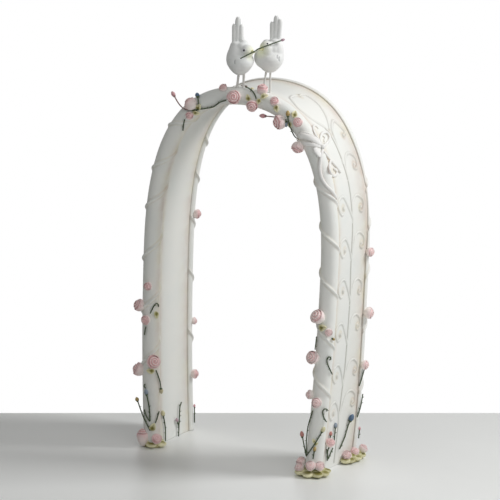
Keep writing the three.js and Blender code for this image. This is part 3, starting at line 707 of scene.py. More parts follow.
def skin_scrolls(skin):
    """Scroll work on the panel's outside, lined with painted shade, and a drop at the end of each curl."""
    tree, facts, ends = scroll_tree()
    for r, station in enumerate(skin.along[:, 0]):
        if station < SCROLL_START:
            continue
        for c, y in enumerate(OUTER):
            nearest, index, gap = tree.find((station, y, 0))
            if gap < LINE_END:
                height, before, behind = facts[index]
                skin.raised[r, c] += height * max(0.0, 1 - (gap / SCROLL_HALF_WIDTH) ** 2)
                # Painted shade beside the relief
                skin.dark[r, c] += (before if y < nearest[1] else behind) * bell(gap - SHADE_LINE_GAP, SHADE_LINE_WIDTH)
        for end_s, end_y in ends:
            if abs(end_s - station) < DROP_END:
                gap = np.hypot(end_s - station, OUTER - end_y)
                drop = DROP_HEIGHT * (1 - (gap / DROP_RADIUS) ** 2).clip(0)
                skin.raised[r, OUTSIDE] = np.maximum(skin.raised[r, OUTSIDE], drop)
                skin.wash[r, OUTSIDE] += 0.4 * bell(gap - 1.6, 0.9)


def arch_skin():
    skin = Skin()
    skin_grooves(skin)
    skin_ribbon(skin)
    skin_scrolls(skin)
    _, y, push_out, push_y = section()
    spots, away, down = arch_at(skin.stations)
    out = skin.out + push_out * skin.raised + flare(skin.stations[:, None], y)
    points = spots[:, None] + away[:, None] * out[..., None]
    points[..., 1] += y + push_y * skin.raised
    feet = [points[row] - down[row] * (points[row][:, 2:3] / down[row][2]) for row in (0, -1)]
    points = np.concatenate([feet[:1], points, feet[1:]])
    wash, dark = (np.concatenate([p[:1], p, p[-1:]]).clip(0, 1).reshape(-1) for p in (skin.wash, skin.dark))
    rows, cols = points.shape[:2]
    faces = [face[::-1] for face in grid_faces(rows, cols, around=True)]
    faces += [list(range(cols)), [(rows - 1) * cols + c for c in range(cols)][::-1]]
    shape = Shape()
    shape.add(points, faces, wash)
    mesh = shape.mesh("arch_skin")
    # The line attribute holds the painted shade
    paint_points(mesh, "line", dark)
    piece("arch_skin", mesh, CAST, "cast_white", "arch_frame")


# Ribbon bow on the right shoulder, on the roll and the panel

# Strands: half width, thickness as a share of it, and the pixels that they pass
BOW_STRANDS = [
    (1.75, 0.5, [(320.3, 144.6), (314.5, 140.6), (308.5, 137.4), (302.5, 135.8), (298.6, 136.2)]),
    (0.6, 0.85, [(320.3, 143.6), (314.5, 137.2), (307.5, 133.2), (301.5, 132.9), (297.6, 135.6)]),
    (1.3, 0.5, [(320, 146.6), (313, 144.8), (306, 143.6), (300, 141.4), (297.5, 138)]),
    (0.95, 0.85, [(321, 146), (319.6, 139.5), (321.3, 134.2), (325.3, 132.6), (328.6, 136), (328.4, 140.5),
                  (325.4, 144.3), (321.8, 147.4)]),
    (0.6, 0.85, [(322.2, 135.5), (324.4, 138), (323.8, 142)]),
    (0.7, 0.85, [(319.5, 142), (314.8, 134.5), (312.6, 128.5), (314.2, 125.6), (318, 128.5)]),
    (1.0, 0.85, [(322, 150), (320.3, 158), (319.7, 168), (321.5, 177.5), (326, 185.5),
                 (331.5, 191.5), (336, 199)]),
    (0.9, 0.85, [(323.5, 152), (327.5, 157.5), (331, 161.5), (335.5, 166.5), (340, 172.6)]),
    (0.9, 0.85, [(330, 160.5), (328.6, 166), (329.4, 172), (332.5, 176), (335.6, 174.6), (335.8, 170.8),
                 (333, 168.6)]),
]
# Lift as a share of a strand's thickness, and the painted shade along its low sides
BOW_SEAT, BOW_LOW_SHADE = 0.6, 0.75
# The hanging fold and the knot: pixel, lift over the roll, the way that the broad side faces, and half sizes
BOW_FOLDS = [
    ((316.9, 152.6), 1.5, toward(0.55, 0.6, 0.6), (3.4, 2.3, 1.2)),
    ((321.8, 147.4), 0.9, toward(0.5, 0.5, 0.7), (1.5, 1.4, 1.1)),
]


def pad(shape, centre, face, sizes):
    """A plump drop that hangs with its broad side to face."""
    length, width, depth = sizes
    along = square_to(VIEW_UP, face)
    t = np.linspace(-1, 1, 17)
    half = np.sqrt(1 - 0.997 * t**2) * (1 + 0.3 * t)
    axes = np.array([np.cross(face, along) * width, face * depth, along * length])
    closed(shape, rings(np.stack([half, t], -1), 22) @ axes + centre)


def ribbon_bow():
    shape = Shape()
    for half, flat, stops in BOW_STRANDS:
        spots, ups = zip(*[spot_on(pixel, half * flat * BOW_SEAT) for pixel in stops])
        path, up = smooth_route(spots, 10), smooth_route(ups, 10)
        step = np.arange(len(path))
        taper = np.minimum(1, 0.55 + 0.15 * np.minimum(step, step[::-1]))
        sweep(shape, path, half * taper, 16, flat, up, rim=BOW_LOW_SHADE)
    for pixel, lift, face, sizes in BOW_FOLDS:
        pad(shape, spot_at("roll", pixel, lift)[0], face, sizes)
    piece("ribbon_bow_strands", shape, BOW_WHITE, "cast_white", "ribbon_bow")


# Roses: three wide petals round one long petal that is wound into a heart, over a solid core

# Number of wide petals, their overlap, and their foot and lip as degrees below and over the rose's middle
ROSE_PETALS, PETAL_LAP = 3, 1.35
PETAL_FOOT, PETAL_LIP = -86, 24
PETAL_THICKNESS, HEART_THICKNESS = 0.08, 0.12
# Turns of the wound petal, and the core's radii and heights as shares of the rose's radius
ROSE_TURNS = 2.3
ROSE_CORE = np.array(
    [(0.05, -0.92), (0.6, -0.68), (0.88, -0.1), (0.85, 0.24), (0.7, 0.48), (0.48, 0.66), (0.03, 0.74)]
)


def rose(shape, centre, facing, radius, seed, stretch=1.0, pale=0.0):
    """A rose; stretch above 1 makes a taller bud, and pale lightens it, as painted light on the lit side."""
    rng = random.Random(seed)
    axes = frame_about(facing, rng.uniform(0, math.tau))
    axes[2] *= stretch
    v, u = sheet(16, 17)
    start = rng.uniform(0, math.tau)
    for k in range(ROSE_PETALS):
        lip = PETAL_LIP + rng.uniform(-5, 5) - 16 * u**4
        angle = np.radians(PETAL_FOOT + (lip - PETAL_FOOT) * v)
        turn = start + math.tau * (k + rng.uniform(-0.05, 0.05)) / ROSE_PETALS
        turn = turn + u * math.pi / ROSE_PETALS * PETAL_LAP
        out = 0.97 + 0.05 * u + 0.05 * v**6
        grid = polar(out * np.cos(angle), turn, out * np.sin(angle))
        tone = pale + 0.95 - 0.55 * v**2.5 + 0 * u
        shell(shape, grid * radius @ axes + centre, radius * PETAL_THICKNESS, tone)
    rise, along = sheet(7, 96, 0)
    reach = 0.07 + 0.78 * along**0.92
    r = reach * (0.86 + 0.14 * rise) + 0.04 * rise**3
    z = 0.93 * np.sqrt(1 - reach**2) - 0.06 * along - 0.26 * (1 - rise)
    grid = polar(r, start + along * math.tau * ROSE_TURNS, z) * radius
    shell(shape, grid @ axes + centre, radius * HEART_THICKNESS, pale + 0.2 + 0.46 * rise**2 + 0 * along)
    lathe(shape, centre, axes[2], ROSE_CORE * radius * np.array([1, stretch]), 16, pale + 0.22)


# Station or height, angle round the moulding, radius and, where it isn't straight out, the way that it faces
CROWN_ROSES = [
    (-32.5, 66, 3.6, toward(-0.55, 0.6, -0.45)), (-37.5, 110, 2.2, None), (-12.5, 30, 2.2, None),
    (-4.5, 87, 3.8, toward(0, 0.1, 1)), (9.5, 12, 3.0, toward(0.1, 0.9, 0.4)),
    (7, 117, 3.2, toward(0, -0.3, 1)), (19, 51, 2.4, None), (27.5, 132, 4.0, toward(-0.95, -0.1, 0.35)),
    (36, 60, 2.6, toward(0.1, 0.1, 1)), (47.5, 141, 3.4, toward(-0.1, -0.95, 0.3)),
]
LEFT_LEG_ROSES = [
    (96, 99, 2.3, None), (83.5, 36, 3.5, toward(-0.7, 0.5, 0.4)), (76, 90, 2.6, None),
    (51.5, 129, 3.9, toward(0.3, 0.2, 0.9)), (45.5, 24, 3.8, toward(-0.8, 0.5, 0.2)),
]
LEFT_BACK_ROSES = [(129.5, 162, 2.6, None), (65, 150, 2.0, None), (33.5, 165, 2.6, None)]
RIGHT_LEG_ROSES = [
    (94.5, 111, 4.0, toward(-0.5, 0.6, 0.7)), (86, 51, 2.2, None), (70, 129, 3.7, toward(-0.4, 0.15, 0.9)),
    (47.5, 144, 2.6, None), (44.5, 84, 2.9, toward(0, 0.1, 1)),
]
RIGHT_BACK_ROSES = [(123.5, -10, 2.6, None), (87.5, 6, 3.2, None), (57, -4, 2.6, None)]
ROSE_GROUPS = [
    ("crown_rose", "roll", CROWN_ROSES, float),
    ("left_leg_rose", "roll", LEFT_LEG_ROSES, left_leg),
    ("left_back_rose", "bead", LEFT_BACK_ROSES, left_leg),
    ("right_leg_rose", "roll", RIGHT_LEG_ROSES, right_leg),
    ("right_back_rose", "bead", RIGHT_BACK_ROSES, right_leg),
]
# Stretch, seat and paleness of the roses that differ from the rest; the paleness is painted light on the lit
# right side
TALL_ROSES = {"crown_rose_7": 1.35, "crown_rose_5": 1.2}
HIGH_SEATS = {"crown_rose_10": 0.85}
PAINTED_LIGHT_ROSES = {"right_leg_rose": 0.2, "right_back_rose": 0.2, "right_front": 0.2, "right_back": 0.12}
# A rose that faces another way still leans outward by this share
OUTWARD_PULL = 0.35


def roses():
    seed = 1
    for group, moulding, rows, station_of in ROSE_GROUPS:
        for i, (along, angle, radius, facing) in enumerate(rows):
            name = f"{group}_{i + 1}"
            seat = HIGH_SEATS.get(name, ROSE_SEAT) * radius
            centre, out = spot(moulding, station_of(along), angle, seat)
            facing = out if facing is None else unit(facing + OUTWARD_PULL * out)
            shape = Shape()
            rose(shape, centre, facing, radius, seed, TALL_ROSES.get(name, 1.0), PAINTED_LIGHT_ROSES.get(group, 0.0))
            seed += 1
            piece(name + "_petals", shape, ROSE, "rose_pink", name)


# Leaves of the garland

# The pixel that each leaf lies at, the way that it points in the picture (right and down) and its length
GARLAND_LEAVES = [
    ((198.8, 106.8), (0.6, -0.8), 4.4), ((196.5, 112.3), (1, 0.3), 4.2), ((248.5, 97.5), (-0.3, -1), 4.0),
    ((264.5, 96.8), (1, -0.2), 4.6), ((258.9, 101.5), (-0.6, 0.8), 3.6), ((276.7, 108.8), (0.2, 1), 4.2),
    ((294.4, 114.3), (0.3, -1), 4.4), ((290.6, 125), (-0.3, 1), 3.6), ((252.4, 89.2), (1, -1), 2.2),
    ((155.8, 314.8), (0.3, 1), 4.2), ((150.4, 370.6), (-1, -0.1), 4.6), ((152.7, 426.8), (0.4, -1), 5.0),
    ((322.8, 327.4), (1, -0.2), 5.2), ((314.2, 440.6), (-0.5, -0.8), 2.8), ((316.2, 443.4), (1, -0.2), 2.6),
]
# Shares of a leaf's length, apart from the power that rounds its ends
LEAF_WIDTH, LEAF_DROOP, LEAF_FOLD, LEAF_BLUNT = 0.75, 0.05, 0.35, 0.65
LEAF_THICKNESS, LEAF_LIFT, LEAF_RISE = 0.4, 0.35, 0.2
FIRST_LEAF_SEED = 300


def leaf(shape, base, along, up, length, seed):
    """A folded leaf with a notched edge."""
    rng = random.Random(seed)
    along = unit(along)
    up = square_to(up, along)
    width = length * LEAF_WIDTH
    t, u = sheet(12, 9)
    notch = 1 + 0.07 * np.sin(t * math.tau * 4.5 + rng.uniform(0, 6))
    half = width / 2 * np.sin(math.pi * np.clip(t, 0.02, 0.985) ** 0.75) ** LEAF_BLUNT * notch
    arched = np.sin(math.pi * t)
    lift = LEAF_FOLD * np.abs(u) ** 1.3 * half - LEAF_DROOP * length * t**2 + 0.05 * length * arched
    lift = lift - 0.08 * width * bell(u, 0.16) * arched
    grid = base + along * (t * length)[..., None] + np.cross(up, along) * (u * half)[..., None]
    tone = 0.6 + 0.3 * np.abs(u) + 0.25 * t - 0.2 * bell(u, 0.2) + rng.uniform(-0.25, 0.1)
    tone = tone - 0.8 * bell(t - 0.36, 0.2) * (1 - u**2)
    shell(shape, grid + up * lift[..., None], LEAF_THICKNESS * (1 - 0.4 * u**2) + 0 * tone, tone)


def garland_leaves():
    shape = Shape()
    for i, (pixel, (right, down), length) in enumerate(GARLAND_LEAVES):
        middle, up = spot_at("roll", pixel, LEAF_LIFT)
        along = VIEW_RIGHT * right - VIEW_UP * down
        along = square_to(along, up) + up * LEAF_RISE
        leaf(shape, middle - unit(along) * length / 2, along, up, length, FIRST_LEAF_SEED + i)
    piece("garland_leaves", shape, LEAF, "leaf_green")


# Foot beds

# Side, the moulding that it is round, its spread past it, its offset outward and in y, and its roses
# as x, y, height over the bed and radius
BEDS = {
    "left_front": (-1, "roll", (3.2, 3.2), (0, 0), [(-4.2, -4.6, 0.1, 3.5), (5, -5, 0.4, 2.9)]),
    "right_front": (1, "roll", (6, 6), (0, 0),
                    [(-5.7, -5.7, -1, 2.7), (-6.6, -2.4, 1.7, 2.7), (1.9, -7.3, 1.5, 2.8),
                     (6.2, -4.3, 1.3, 2.7)]),
    "left_back": (-1, "bead", (2.6, 9.6), (5.8, -3.4),
                  [(-0.2, -8.4, -0.7, 2.6), (-0.6, 0.8, -0.7, 2.6), (-2.4, 8.2, -0.1, 2.6)]),
    "right_back": (1, "bead", (2.6, 9.6), (5.8, -3.4),
                   [(0.2, -8.4, -0.7, 2.6), (0.6, 0.8, -0.7, 2.6), (2.4, 8.2, -0.1, 2.6)]),
}
# Rings of plump leaves: share of the bed's reach, height of their middles, half sizes across, out and up
BED_RINGS = [(1.0, 2.2, (3.2, 2.7, 1.9)), (0.66, 3.6, (3.0, 2.6, 2.0))]
BED_LEAF_PITCH, FEWEST_LEAVES = 5.9, 5
# The mound under the leaves: share of its reach and height
BED_CORE = [(0.8, 0.35), (0.82, 0.9), (0.74, 2.2), (0.6, 3.6), (0.35, 4.4), (0.05, 4.6)]
BED_CORE_INSET, BED_CORE_TONE = 1.2, 0.25
# A bed rose with a larger radius than this is a tall closed one that stands upright
TALL_FROM, TALL_STRETCH, UPRIGHT = 3, 1.55, np.array([-0.1, -0.1, 1])
FIRST_BED_SEED = 500


def lobe(shape, centre, out, sizes, seed):
    """A plump leaf with an olive hollow in its upper side; out is the way that it points."""
    rng = random.Random(seed)
    form = rings(ball(15, 0.04), 22)
    ahead, rise = form[..., 0], form[..., 2]
    hollow = ((0.35 * ahead + 0.93 * rise - 0.42) / 0.5).clip(0, 1)
    form = form * (1 - 0.42 * hollow**1.5)[..., None]
    form[..., 0] *= 1 + 0.2 * ahead
    wide, deep, high = np.array(sizes) * rng.uniform(0.9, 1.06)
    axes = np.array([out * deep, np.cross(Z_AXIS, out) * wide, Z_AXIS * high])
    tone = 0.85 + rng.uniform(-0.25, 0.15) - 0.95 * hollow**0.6 - 0.35 * (-rise - 0.5).clip(0, 1)
    closed(shape, form @ axes + centre, tone)


def beds():
    seed = FIRST_BED_SEED
    for name, (side, moulding, spread, offset, blooms) in BEDS.items():
        y, radius, _ = MOULDINGS[moulding]
        middle = np.array([side * (FOOT_HALF_SPAN + offset[0]), y + offset[1], 0.0])
        half = radius + np.array(spread)
        leaves = Shape()
        for ring, (reach, height, sizes) in enumerate(BED_RINGS):
            edge = reach * half - sizes[1] * 1.2
            count = max(FEWEST_LEAVES, round(math.tau * math.sqrt(np.mean(edge**2)) / BED_LEAF_PITCH))
            for k in range(count):
                angle = math.tau * (k + 0.5 * ring + random.Random(seed).uniform(-0.12, 0.12)) / count
                turn = np.array([math.cos(angle), math.sin(angle)])
                lobe(leaves, middle + [*(turn * edge), height], unit([*(turn * edge[::-1]), 0]), sizes, seed)
                seed += 1
        closed(leaves, rings(BED_CORE, 28, (*(half - BED_CORE_INSET), 1)) + middle, BED_CORE_TONE)
        piece(f"{name}_bed_leaves", leaves, LEAF, "leaf_green", f"{name}_rose_bed")
        shape = Shape()
        for x, dy, over, r in blooms:
            tall = r > TALL_FROM
            facing = UPRIGHT if tall else np.array([x, dy, 7.0]) + VIEW_BACK * 6
            centre = middle + [x, dy, BED_TOP + over]
            stretch = TALL_STRETCH if tall else 1.0
            rose(shape, centre, unit(facing), r, seed, stretch, PAINTED_LIGHT_ROSES.get(name, 0.0))
            seed += 1
        piece(f"{name}_bed_roses", shape, ROSE, "rose_pink")


# Wire stems and their buds

BUD_PROFILE = [(0.16, -0.12), (0.55, 0.08), (0.92, 0.3), (1, 0.48), (0.84, 0.7), (0.5, 0.9), (0.12, 1)]
BUD_LENGTH = 3
THORN_PITCH, THORN_LEAN, THORN_RADII = 3.0, 0.8, (0.3, 0.1)
# Where a stem's stops lie: the face, and what turns a stop's first number into a station
GROUNDS = {
    "crown": ("roll", float), "left": ("roll", left_leg), "right": ("roll", right_leg),
    "left bead": ("bead", left_leg), "right bead": ("bead", right_leg),
    "inside": ("inside", left_leg), "outside": ("outside", right_leg),
}
# Each wire: where it lies; its stops as station or height, angle or share across the panel, and lift,
# or as pixels where it was seen; then its flower's colour, radius and length in radii
STEMS = {
    "crown_left_vine": [
        ("crown", [(-36, 80), (-34, 99), (-29.5, 118), (-21.5, 139), (-15, 117), (-10.5, 107)]),
    ],
    "crown_blue_bud": [("crown", [(-29.2, 96), (-28, 69), (-28, 33, 1.5)], "blue", 1.3, 2.3)],
    "crown_drop_vine": [("crown", [(-42, 108), (-45.5, 124), (-49, 141)])],
    "crown_right_vine": [("crown", [(-0.6, 9), (3.1, 26), (6.5, 50), (8.7, 76)])],
    "crown_pink_bud": [("crown", [(21.5, 165), (18, 165, 2), (14, 162, 3.2)], "pink", 1.3)],
    "crown_lower_vine": [
        ("crown", [(41.5, 168), (39.5, 150), (35.5, 118), (31, 88), (29, 66)], "ochre", 1.2),
    ],
    "left_leg_tendril": [
        ("seen roll", [(150.4, 313), (152, 309), (154.2, 304.6), (156, 303.2), (157.4, 304.4),
                       (157.4, 306.7)]),
    ],
    "left_leg_bud_stem": [("left", [(46, 148), (42, 165), (38, 182), (33, 196)], "straw", 1.2)],
    "left_foot_blue_stem": [("left", [(16.2, 108), (24.2, 104), (33, 88)], "grey", 1.2)],
    "left_foot_mustard_stem": [("left", [(10.4, 107), (18, 62), (28, 28, 3.4)], "ochre", 1.15, 2.3)],
    "left_foot_yellow_stem": [("inside", [(0.8, -0.71), (9, -0.7), (17.6, -0.82)], "yellow", 1.2)],
    "left_panel_stem": [
        ("seen inside", [(178.5, 438.5), (178, 421), (178.6, 408), (180.2, 402)]),
        ("seen inside", [(177.7, 427), (176.8, 423), (175.8, 420)], "mauve", 0.9),
    ],
    "left_back_bud_stem": [("left bead", [(4.2, 171), (9, 168), (14, 160)], "pink", 0.7)],
    "right_leg_tendril": [
        ("seen roll", [(331, 374), (329.2, 369.5), (327.4, 364.5), (326.6, 360), (327.4, 357.2),
                       (329.2, 356.6), (330, 358.4), (328.8, 359.6)]),
    ],
    "right_foot_spray": [
        ("right", [(11.5, 123), (20, 146), (29.4, 138), (39, 107)]),
        ("right", [(11.5, 123), (17, 150, 1.8), (22.9, 158, 3.6)], "red", 1.2),
        ("right", [(11.5, 123), (20.4, 72), (28.5, 33)], "yellow", 1.2),
    ],
    "right_foot_tendril": [
        ("seen roll", [(325.4, 421.5), (323.4, 417.5), (322.4, 413.5), (322.6, 410.3), (324.2, 408.5),
                       (326, 409), (325.8, 410.8)]),
    ],
    "right_panel_rose_stem": [
        ("outside", [(BED_TOP + WIRE_LIFT, -0.65), (12, -0.7), (18, -0.77, 2.4)], "rose", 2.6),
    ],
    "right_panel_grey_bud": [("outside", [(17, -0.29), (21, -0.3), (26, -0.31)], "grey", 1.1)],
    "right_panel_blue_stem": [
        ("outside", [(10, 0.17), (16, 0.4), (23, 0.56), (27, 0.63, 1.5)], "blue", 1.55),
    ],
    "right_back_stem": [("right bead", [(26, -34), (32, -8), (39, 24)])],
}
# The first of these is a branch of the crown's left vine; the others are small sprigs besides
SPRIGS = {
    "crown_left_branch": ("crown", [(-34, 99), (-38, 62), (-39.2, 30, 3.5), (-39, 12, 9)], "pink", 1.2),
    "crown_vine_start": ("seen roll", [(241.4, 85.9), (244, 86), (247, 86.9)]),
    "crown_grey_bud": ("seen roll", [(286.4, 119), (286.7, 121), (287, 123)], "grey", 1.3),
    "right_leg_ochre_dot": ("seen roll", [(331, 338), (331.7, 338.4), (332.3, 338.8)], "ochre", 0.8),
    "right_leg_vine": ("seen roll", [(317.8, 336.5), (317.2, 343), (316.4, 349.4)]),
    "right_back_upper_stem": ("seen bead", [(363, 369), (361, 377), (358.7, 385.5)]),
    "right_back_bud": ("seen bead", [(357.4, 438), (358, 433), (358.5, 428.5)], "pink", 0.75),
    "right_foot_ochre_bud": ("seen roll", [(313.3, 458.5), (314, 453.5), (314.8, 449)], "ochre", 1.0),
    "right_panel_sprig": ("seen outside", [(331.7, 447.6), (329.3, 453), (327.2, 458.5)]),
    "right_panel_twig": ("seen outside", [(325.6, 449), (326.2, 454), (327.2, 458.5)]),
    "right_panel_red_bud": ("seen outside", [(328.6, 439), (329.2, 436), (329.6, 433.6)], "red", 0.9),
    "left_leg_sprig": ("seen roll", [(146.6, 326.5), (145.8, 330.5), (145.4, 334.5)]),
    "left_leg_curl": ("seen roll", [(146.4, 388), (145.2, 386), (145.8, 383.8)]),
    "left_foot_thin_stem": ("seen roll", [(150, 421), (147.2, 416), (145.2, 409.5)]),
    "left_foot_side_stem": ("seen roll", [(155, 422.6), (156.6, 417), (158.2, 411)]),
}
BROWN_STEMS = {"crown_left_branch", "crown_pink_bud", "crown_vine_start"}
SMOOTH_STEMS = {"crown_left_branch", "crown_pink_bud", "crown_blue_bud"}


def bud(shape, base, along, radius, length):
    rows = [(r * radius, h * length) for r, h in BUD_PROFILE]
    lathe(shape, base, along, rows, 14, np.linspace(0.2, 0.75, len(rows)))


def thorns(shape, path, seed):
    rng = random.Random(seed)
    steps = lengths(path)
    start = THORN_PITCH * 0.6
    while start < steps[-1] - 1:
        base, ahead = (
            np.array([np.interp(s, steps, path[:, i]) for i in range(3)]) for s in (start, start + 0.5)
        )
        along = unit(ahead - base)
        tip = base + frame_about(along, rng.uniform(0, math.tau))[0] + along * THORN_LEAN
        thorn = smooth_route([base, (base + tip) / 2 + along * 0.1, tip], 3)
        sweep(shape, thorn, np.linspace(*THORN_RADII, len(thorn)), 6, tone=0.5)
        start += THORN_PITCH * rng.uniform(0.8, 1.2)


def stem_stops(ground, stops):
    """The points that a wire passes."""
    if ground.startswith("seen"):
        return [spot_at(ground.split()[1], pixel)[0] for pixel in stops]
    face, station_of = GROUNDS[ground]
    points = []
    for along, across, lift in ([*stop, WIRE_LIFT][:3] for stop in stops):
        where = across if face in MOULDINGS else PANEL_MIDDLE + across * PANEL_REACH
        points.append(spot(face, station_of(along), where, lift)[0])
    return points


def stem(name, rows, *nodes):
    """One stem: its wires with their thorns, and a piece for each flower."""
    wires = Shape()
    for i, (ground, stops, *flower) in enumerate(rows):
        path = smooth_route(stem_stops(ground, stops), 8)
        sweep(wires, path, WIRE_RADIUS, 8, tone=0.3)
        if name not in SMOOTH_STEMS:
            thorns(wires, path, len(name) * 7 + i)
        if not flower:
            continue
        colour, radius, length = [*flower, BUD_LENGTH][:3]
        along = unit(path[-1] - path[-3])
        head = Shape()
        if colour == "rose":
            rose(head, path[-1], unit(along + VIEW_BACK * 0.5), radius, len(name))
            piece(f"{name}_rose_{i + 1}", head, ROSE, "rose_pink")
            continue
        bud(head, path[-1] - along * radius * 1.3, along, radius, radius * length)
        piece(f"{name}_bud_{i + 1}", head, BUDS[colour], "stem_green")
        bud(wires, path[-1] - along * radius * 1.6, along, radius * 0.7, radius * 1.3)
    piece(f"{name}_wire", wires, BROWN_STEM if name in BROWN_STEMS else STEM, "stem_green", *nodes)


def stems():
    for name, rows in STEMS.items():
        stem(name, rows, name)
    for name, row in SPRIGS.items():
        stem(name, [row])


# Birds

BODY_RADIUS, BODY_BELLY, BODY_NECK = 7.9, 8.5, 10.6
BODY_PROFILE = [
    (0.02, -1), (0.34, -0.93), (0.56, -0.76), (0.78, -0.52), (0.94, -0.26), (1, 0), (0.97, 0.17),
    (0.86, 0.36), (0.71, 0.53), (0.57, 0.7), (0.47, 0.85), (0.38, 0.96), (0.2, 1.0), (0.02, 1.02),
]
HEAD_RADIUS, HEAD_SKIN = 3.6, 0.25
# Lumps are more of the body's clay, as ahead, left, up and three half sizes; marks are wing grooves, as
# right and up from the body's middle and length in the picture; eye is the way from the head to an eye
BIRDS = {
    "left_bird": dict(
        station=-5.1, across=0.0, rise=ROLL_RADIUS + 6.6 + BODY_BELLY, heading=-10, gaze=-10,
        head=(4.6, 6), beak=(10.2, 6.1), face=3.3, eye=(0.13, 0.95, 0.29), pupil=0.62,
        lumps=[(0.9, 0, 7.6, 3.2, 3.2, 3.2), (1.0, 1.4, 9.4, 2.4, 2.4, 2.6)], marks=[(-3.1, -1.2, 1.6)],
        tail_tip=24.3, side_tips=(0.83, 0.83), side_feather=1.9,
        tail_spread=3.2, tail_turn=-53, tail_back=2.6,
    ),
    "right_bird": dict(
        station=-5.1 + 1.68 * BODY_RADIUS, across=1.4 * BODY_RADIUS, rise=PANEL_HALF + 10.7 + BODY_BELLY,
        heading=-98, gaze=-130, head=(4.1, 6.6), beak=(11, 6.2), face=4.0, eye=(0.15, 0.72, 0.78), pupil=0.5,
        lumps=[(1.2, 0, 6.4, 3.4, 3.4, 3.4), (-1.5, 4.0, 4.5, 3.5, 3.2, 5.5),
               (-1.5, -4.0, 4.5, 3.5, 3.2, 5.5), (-1.0, 3.2, 7.4, 3.0, 3.0, 3.0),
               (1.5, -2.0, 0.3, 6.6, 6.6, 6.6), (0.5, 2.0, 5.8, 3.7, 3.7, 3.7)],
        marks=[(3.9, 0.4, 1.6), (5.0, -0.8, 2.2)],
        tail_tip=23.4, side_tips=(0.846, 0.92), side_feather=2.2,
        tail_spread=0.0, tail_turn=30, tail_back=4.6,
    ),
}
# Grain and smoothing rounds of the birds' skin, wing marks and tail feathers
SKIN_VOXEL, SKIN_SMOOTHING = 0.34, 22
MARK_WIDTH, MARK_DEPTH = 0.34, 0.35
TAIL_BASE, FEATHER_THICKNESS, FEATHER_HALF, MIDDLE_HALF = 5.0, 1.6, 1.2, 1.35
# An eye's ring of painted socket shade and its pupil: paint, how far it stands proud, radius in pupils, half
# depth, sides and tone
EYE_PARTS = {"eye_socket_shade": (EYE_SOCKET_SHADE, 0, 1.5, 0.3, 18, 0.4), "eye": (EYE_BLACK, 0.2, 1, 0.35, 14, 0.3)}
EYE_SUNK = 0.05
# The shade under the belly: strength, where it starts below the middle and its fade; then the painted face
BELLY_SHADE, BELLY_FROM, BELLY_FADE = 0.2, 5.5, 4
FACE_REACH, FACE_STRENGTH = 1.6, 0.75
# Each leg's bird, and its foot and hip along the arch from the bird's middle
LEGS = {
    "left_bird_left_leg": ("left_bird", -0.8, -0.6), "left_bird_right_leg": ("left_bird", 2.9, 2.7),
    "right_bird_left_leg": ("right_bird", -3.8, -2.1), "right_bird_right_leg": ("right_bird", 0.6, 0.6),
}
LEG_SOCKET, LEG_RADIUS = 2.4, {"left_bird": 0.7, "right_bird": 0.55}
LEG_WAVE, GLUE_RADII = 0.05, (0.6, 1.1)
# The held stem's two ends, from the left and the right beak
HELD_ROOT, HELD_TIP = np.array([-5.7, -6.5, -3.1]), np.array([9.2, 10.6, 5.2])


def turned(heading):
    turn = math.radians(heading)
    return np.array([[math.cos(turn), math.sin(turn), 0], [-math.sin(turn), math.cos(turn), 0], [0, 0, 1.0]])


def bird_axes(bird):
    x = arch_at(bird["station"])[0][0][0]
    origin = np.array([x, ROLL_Y + bird["across"], CROWN_HEIGHT + bird["rise"]])
    return turned(bird["heading"]), origin


def bird_point(bird, x, y, z):
    axes, origin = bird_axes(bird)
    return np.array([x, y, z]) @ axes + origin


def beak_tip(bird):
    ahead, up = bird["beak"]
    return bird_point(bird, ahead, 0, up)


def melted(shape):
    """One skin over all the shells of a shape, smoothed."""
    mesh = shape.mesh("melt")
    obj = placed("melt", mesh)
    remesh = obj.modifiers.new("skin", "REMESH")
    remesh.mode = "VOXEL"
    remesh.voxel_size = SKIN_VOXEL * MM
    smooth = obj.modifiers.new("smooth", "SMOOTH")
    smooth.factor = 0.5
    smooth.iterations = SKIN_SMOOTHING
    bpy.context.view_layer.update()
    done = bpy.data.meshes.new_from_object(obj.evaluated_get(bpy.context.evaluated_depsgraph_get()))
    bpy.data.objects.remove(obj)
    bpy.data.meshes.remove(mesh)
    return done


def body_form(bird):
    """The trunk, the lumps, the head and the neck that the skin goes over."""
    axes, origin = bird_axes(bird)
    body = Shape()
    trunk = rings([(r * BODY_RADIUS, h * (BODY_BELLY if h < 0 else BODY_NECK)) for r, h in BODY_PROFILE], 40)
    trunk[..., 0] -= bird["tail_back"] * ((trunk[..., 2] - 1) / 8).clip(0, 1)
    closed(body, trunk @ axes + origin)
    fx, fz = bird["head"]
    for *middle, wide, deep, high in bird["lumps"] + [(fx, 0, fz) + (HEAD_RADIUS + HEAD_SKIN,) * 3]:
        closed(body, (rings(ball(18, 0.05), 40, (wide, deep, high)) + middle) @ axes + origin)
    stops = [(0, -1), (fx * 0.6, fz * 0.55), (fx, fz)]
    neck = smooth_route([bird_point(bird, x, 0, z) for x, z in stops], 6)
    sweep(body, neck, np.linspace(6.2, 3.2, len(neck)), 20)
    return body


def point_values(mesh, name):
    values = np.zeros(len(mesh.vertices) * 3)
    mesh.vertices.foreach_get(name, values)
    return values.reshape(-1, 3)


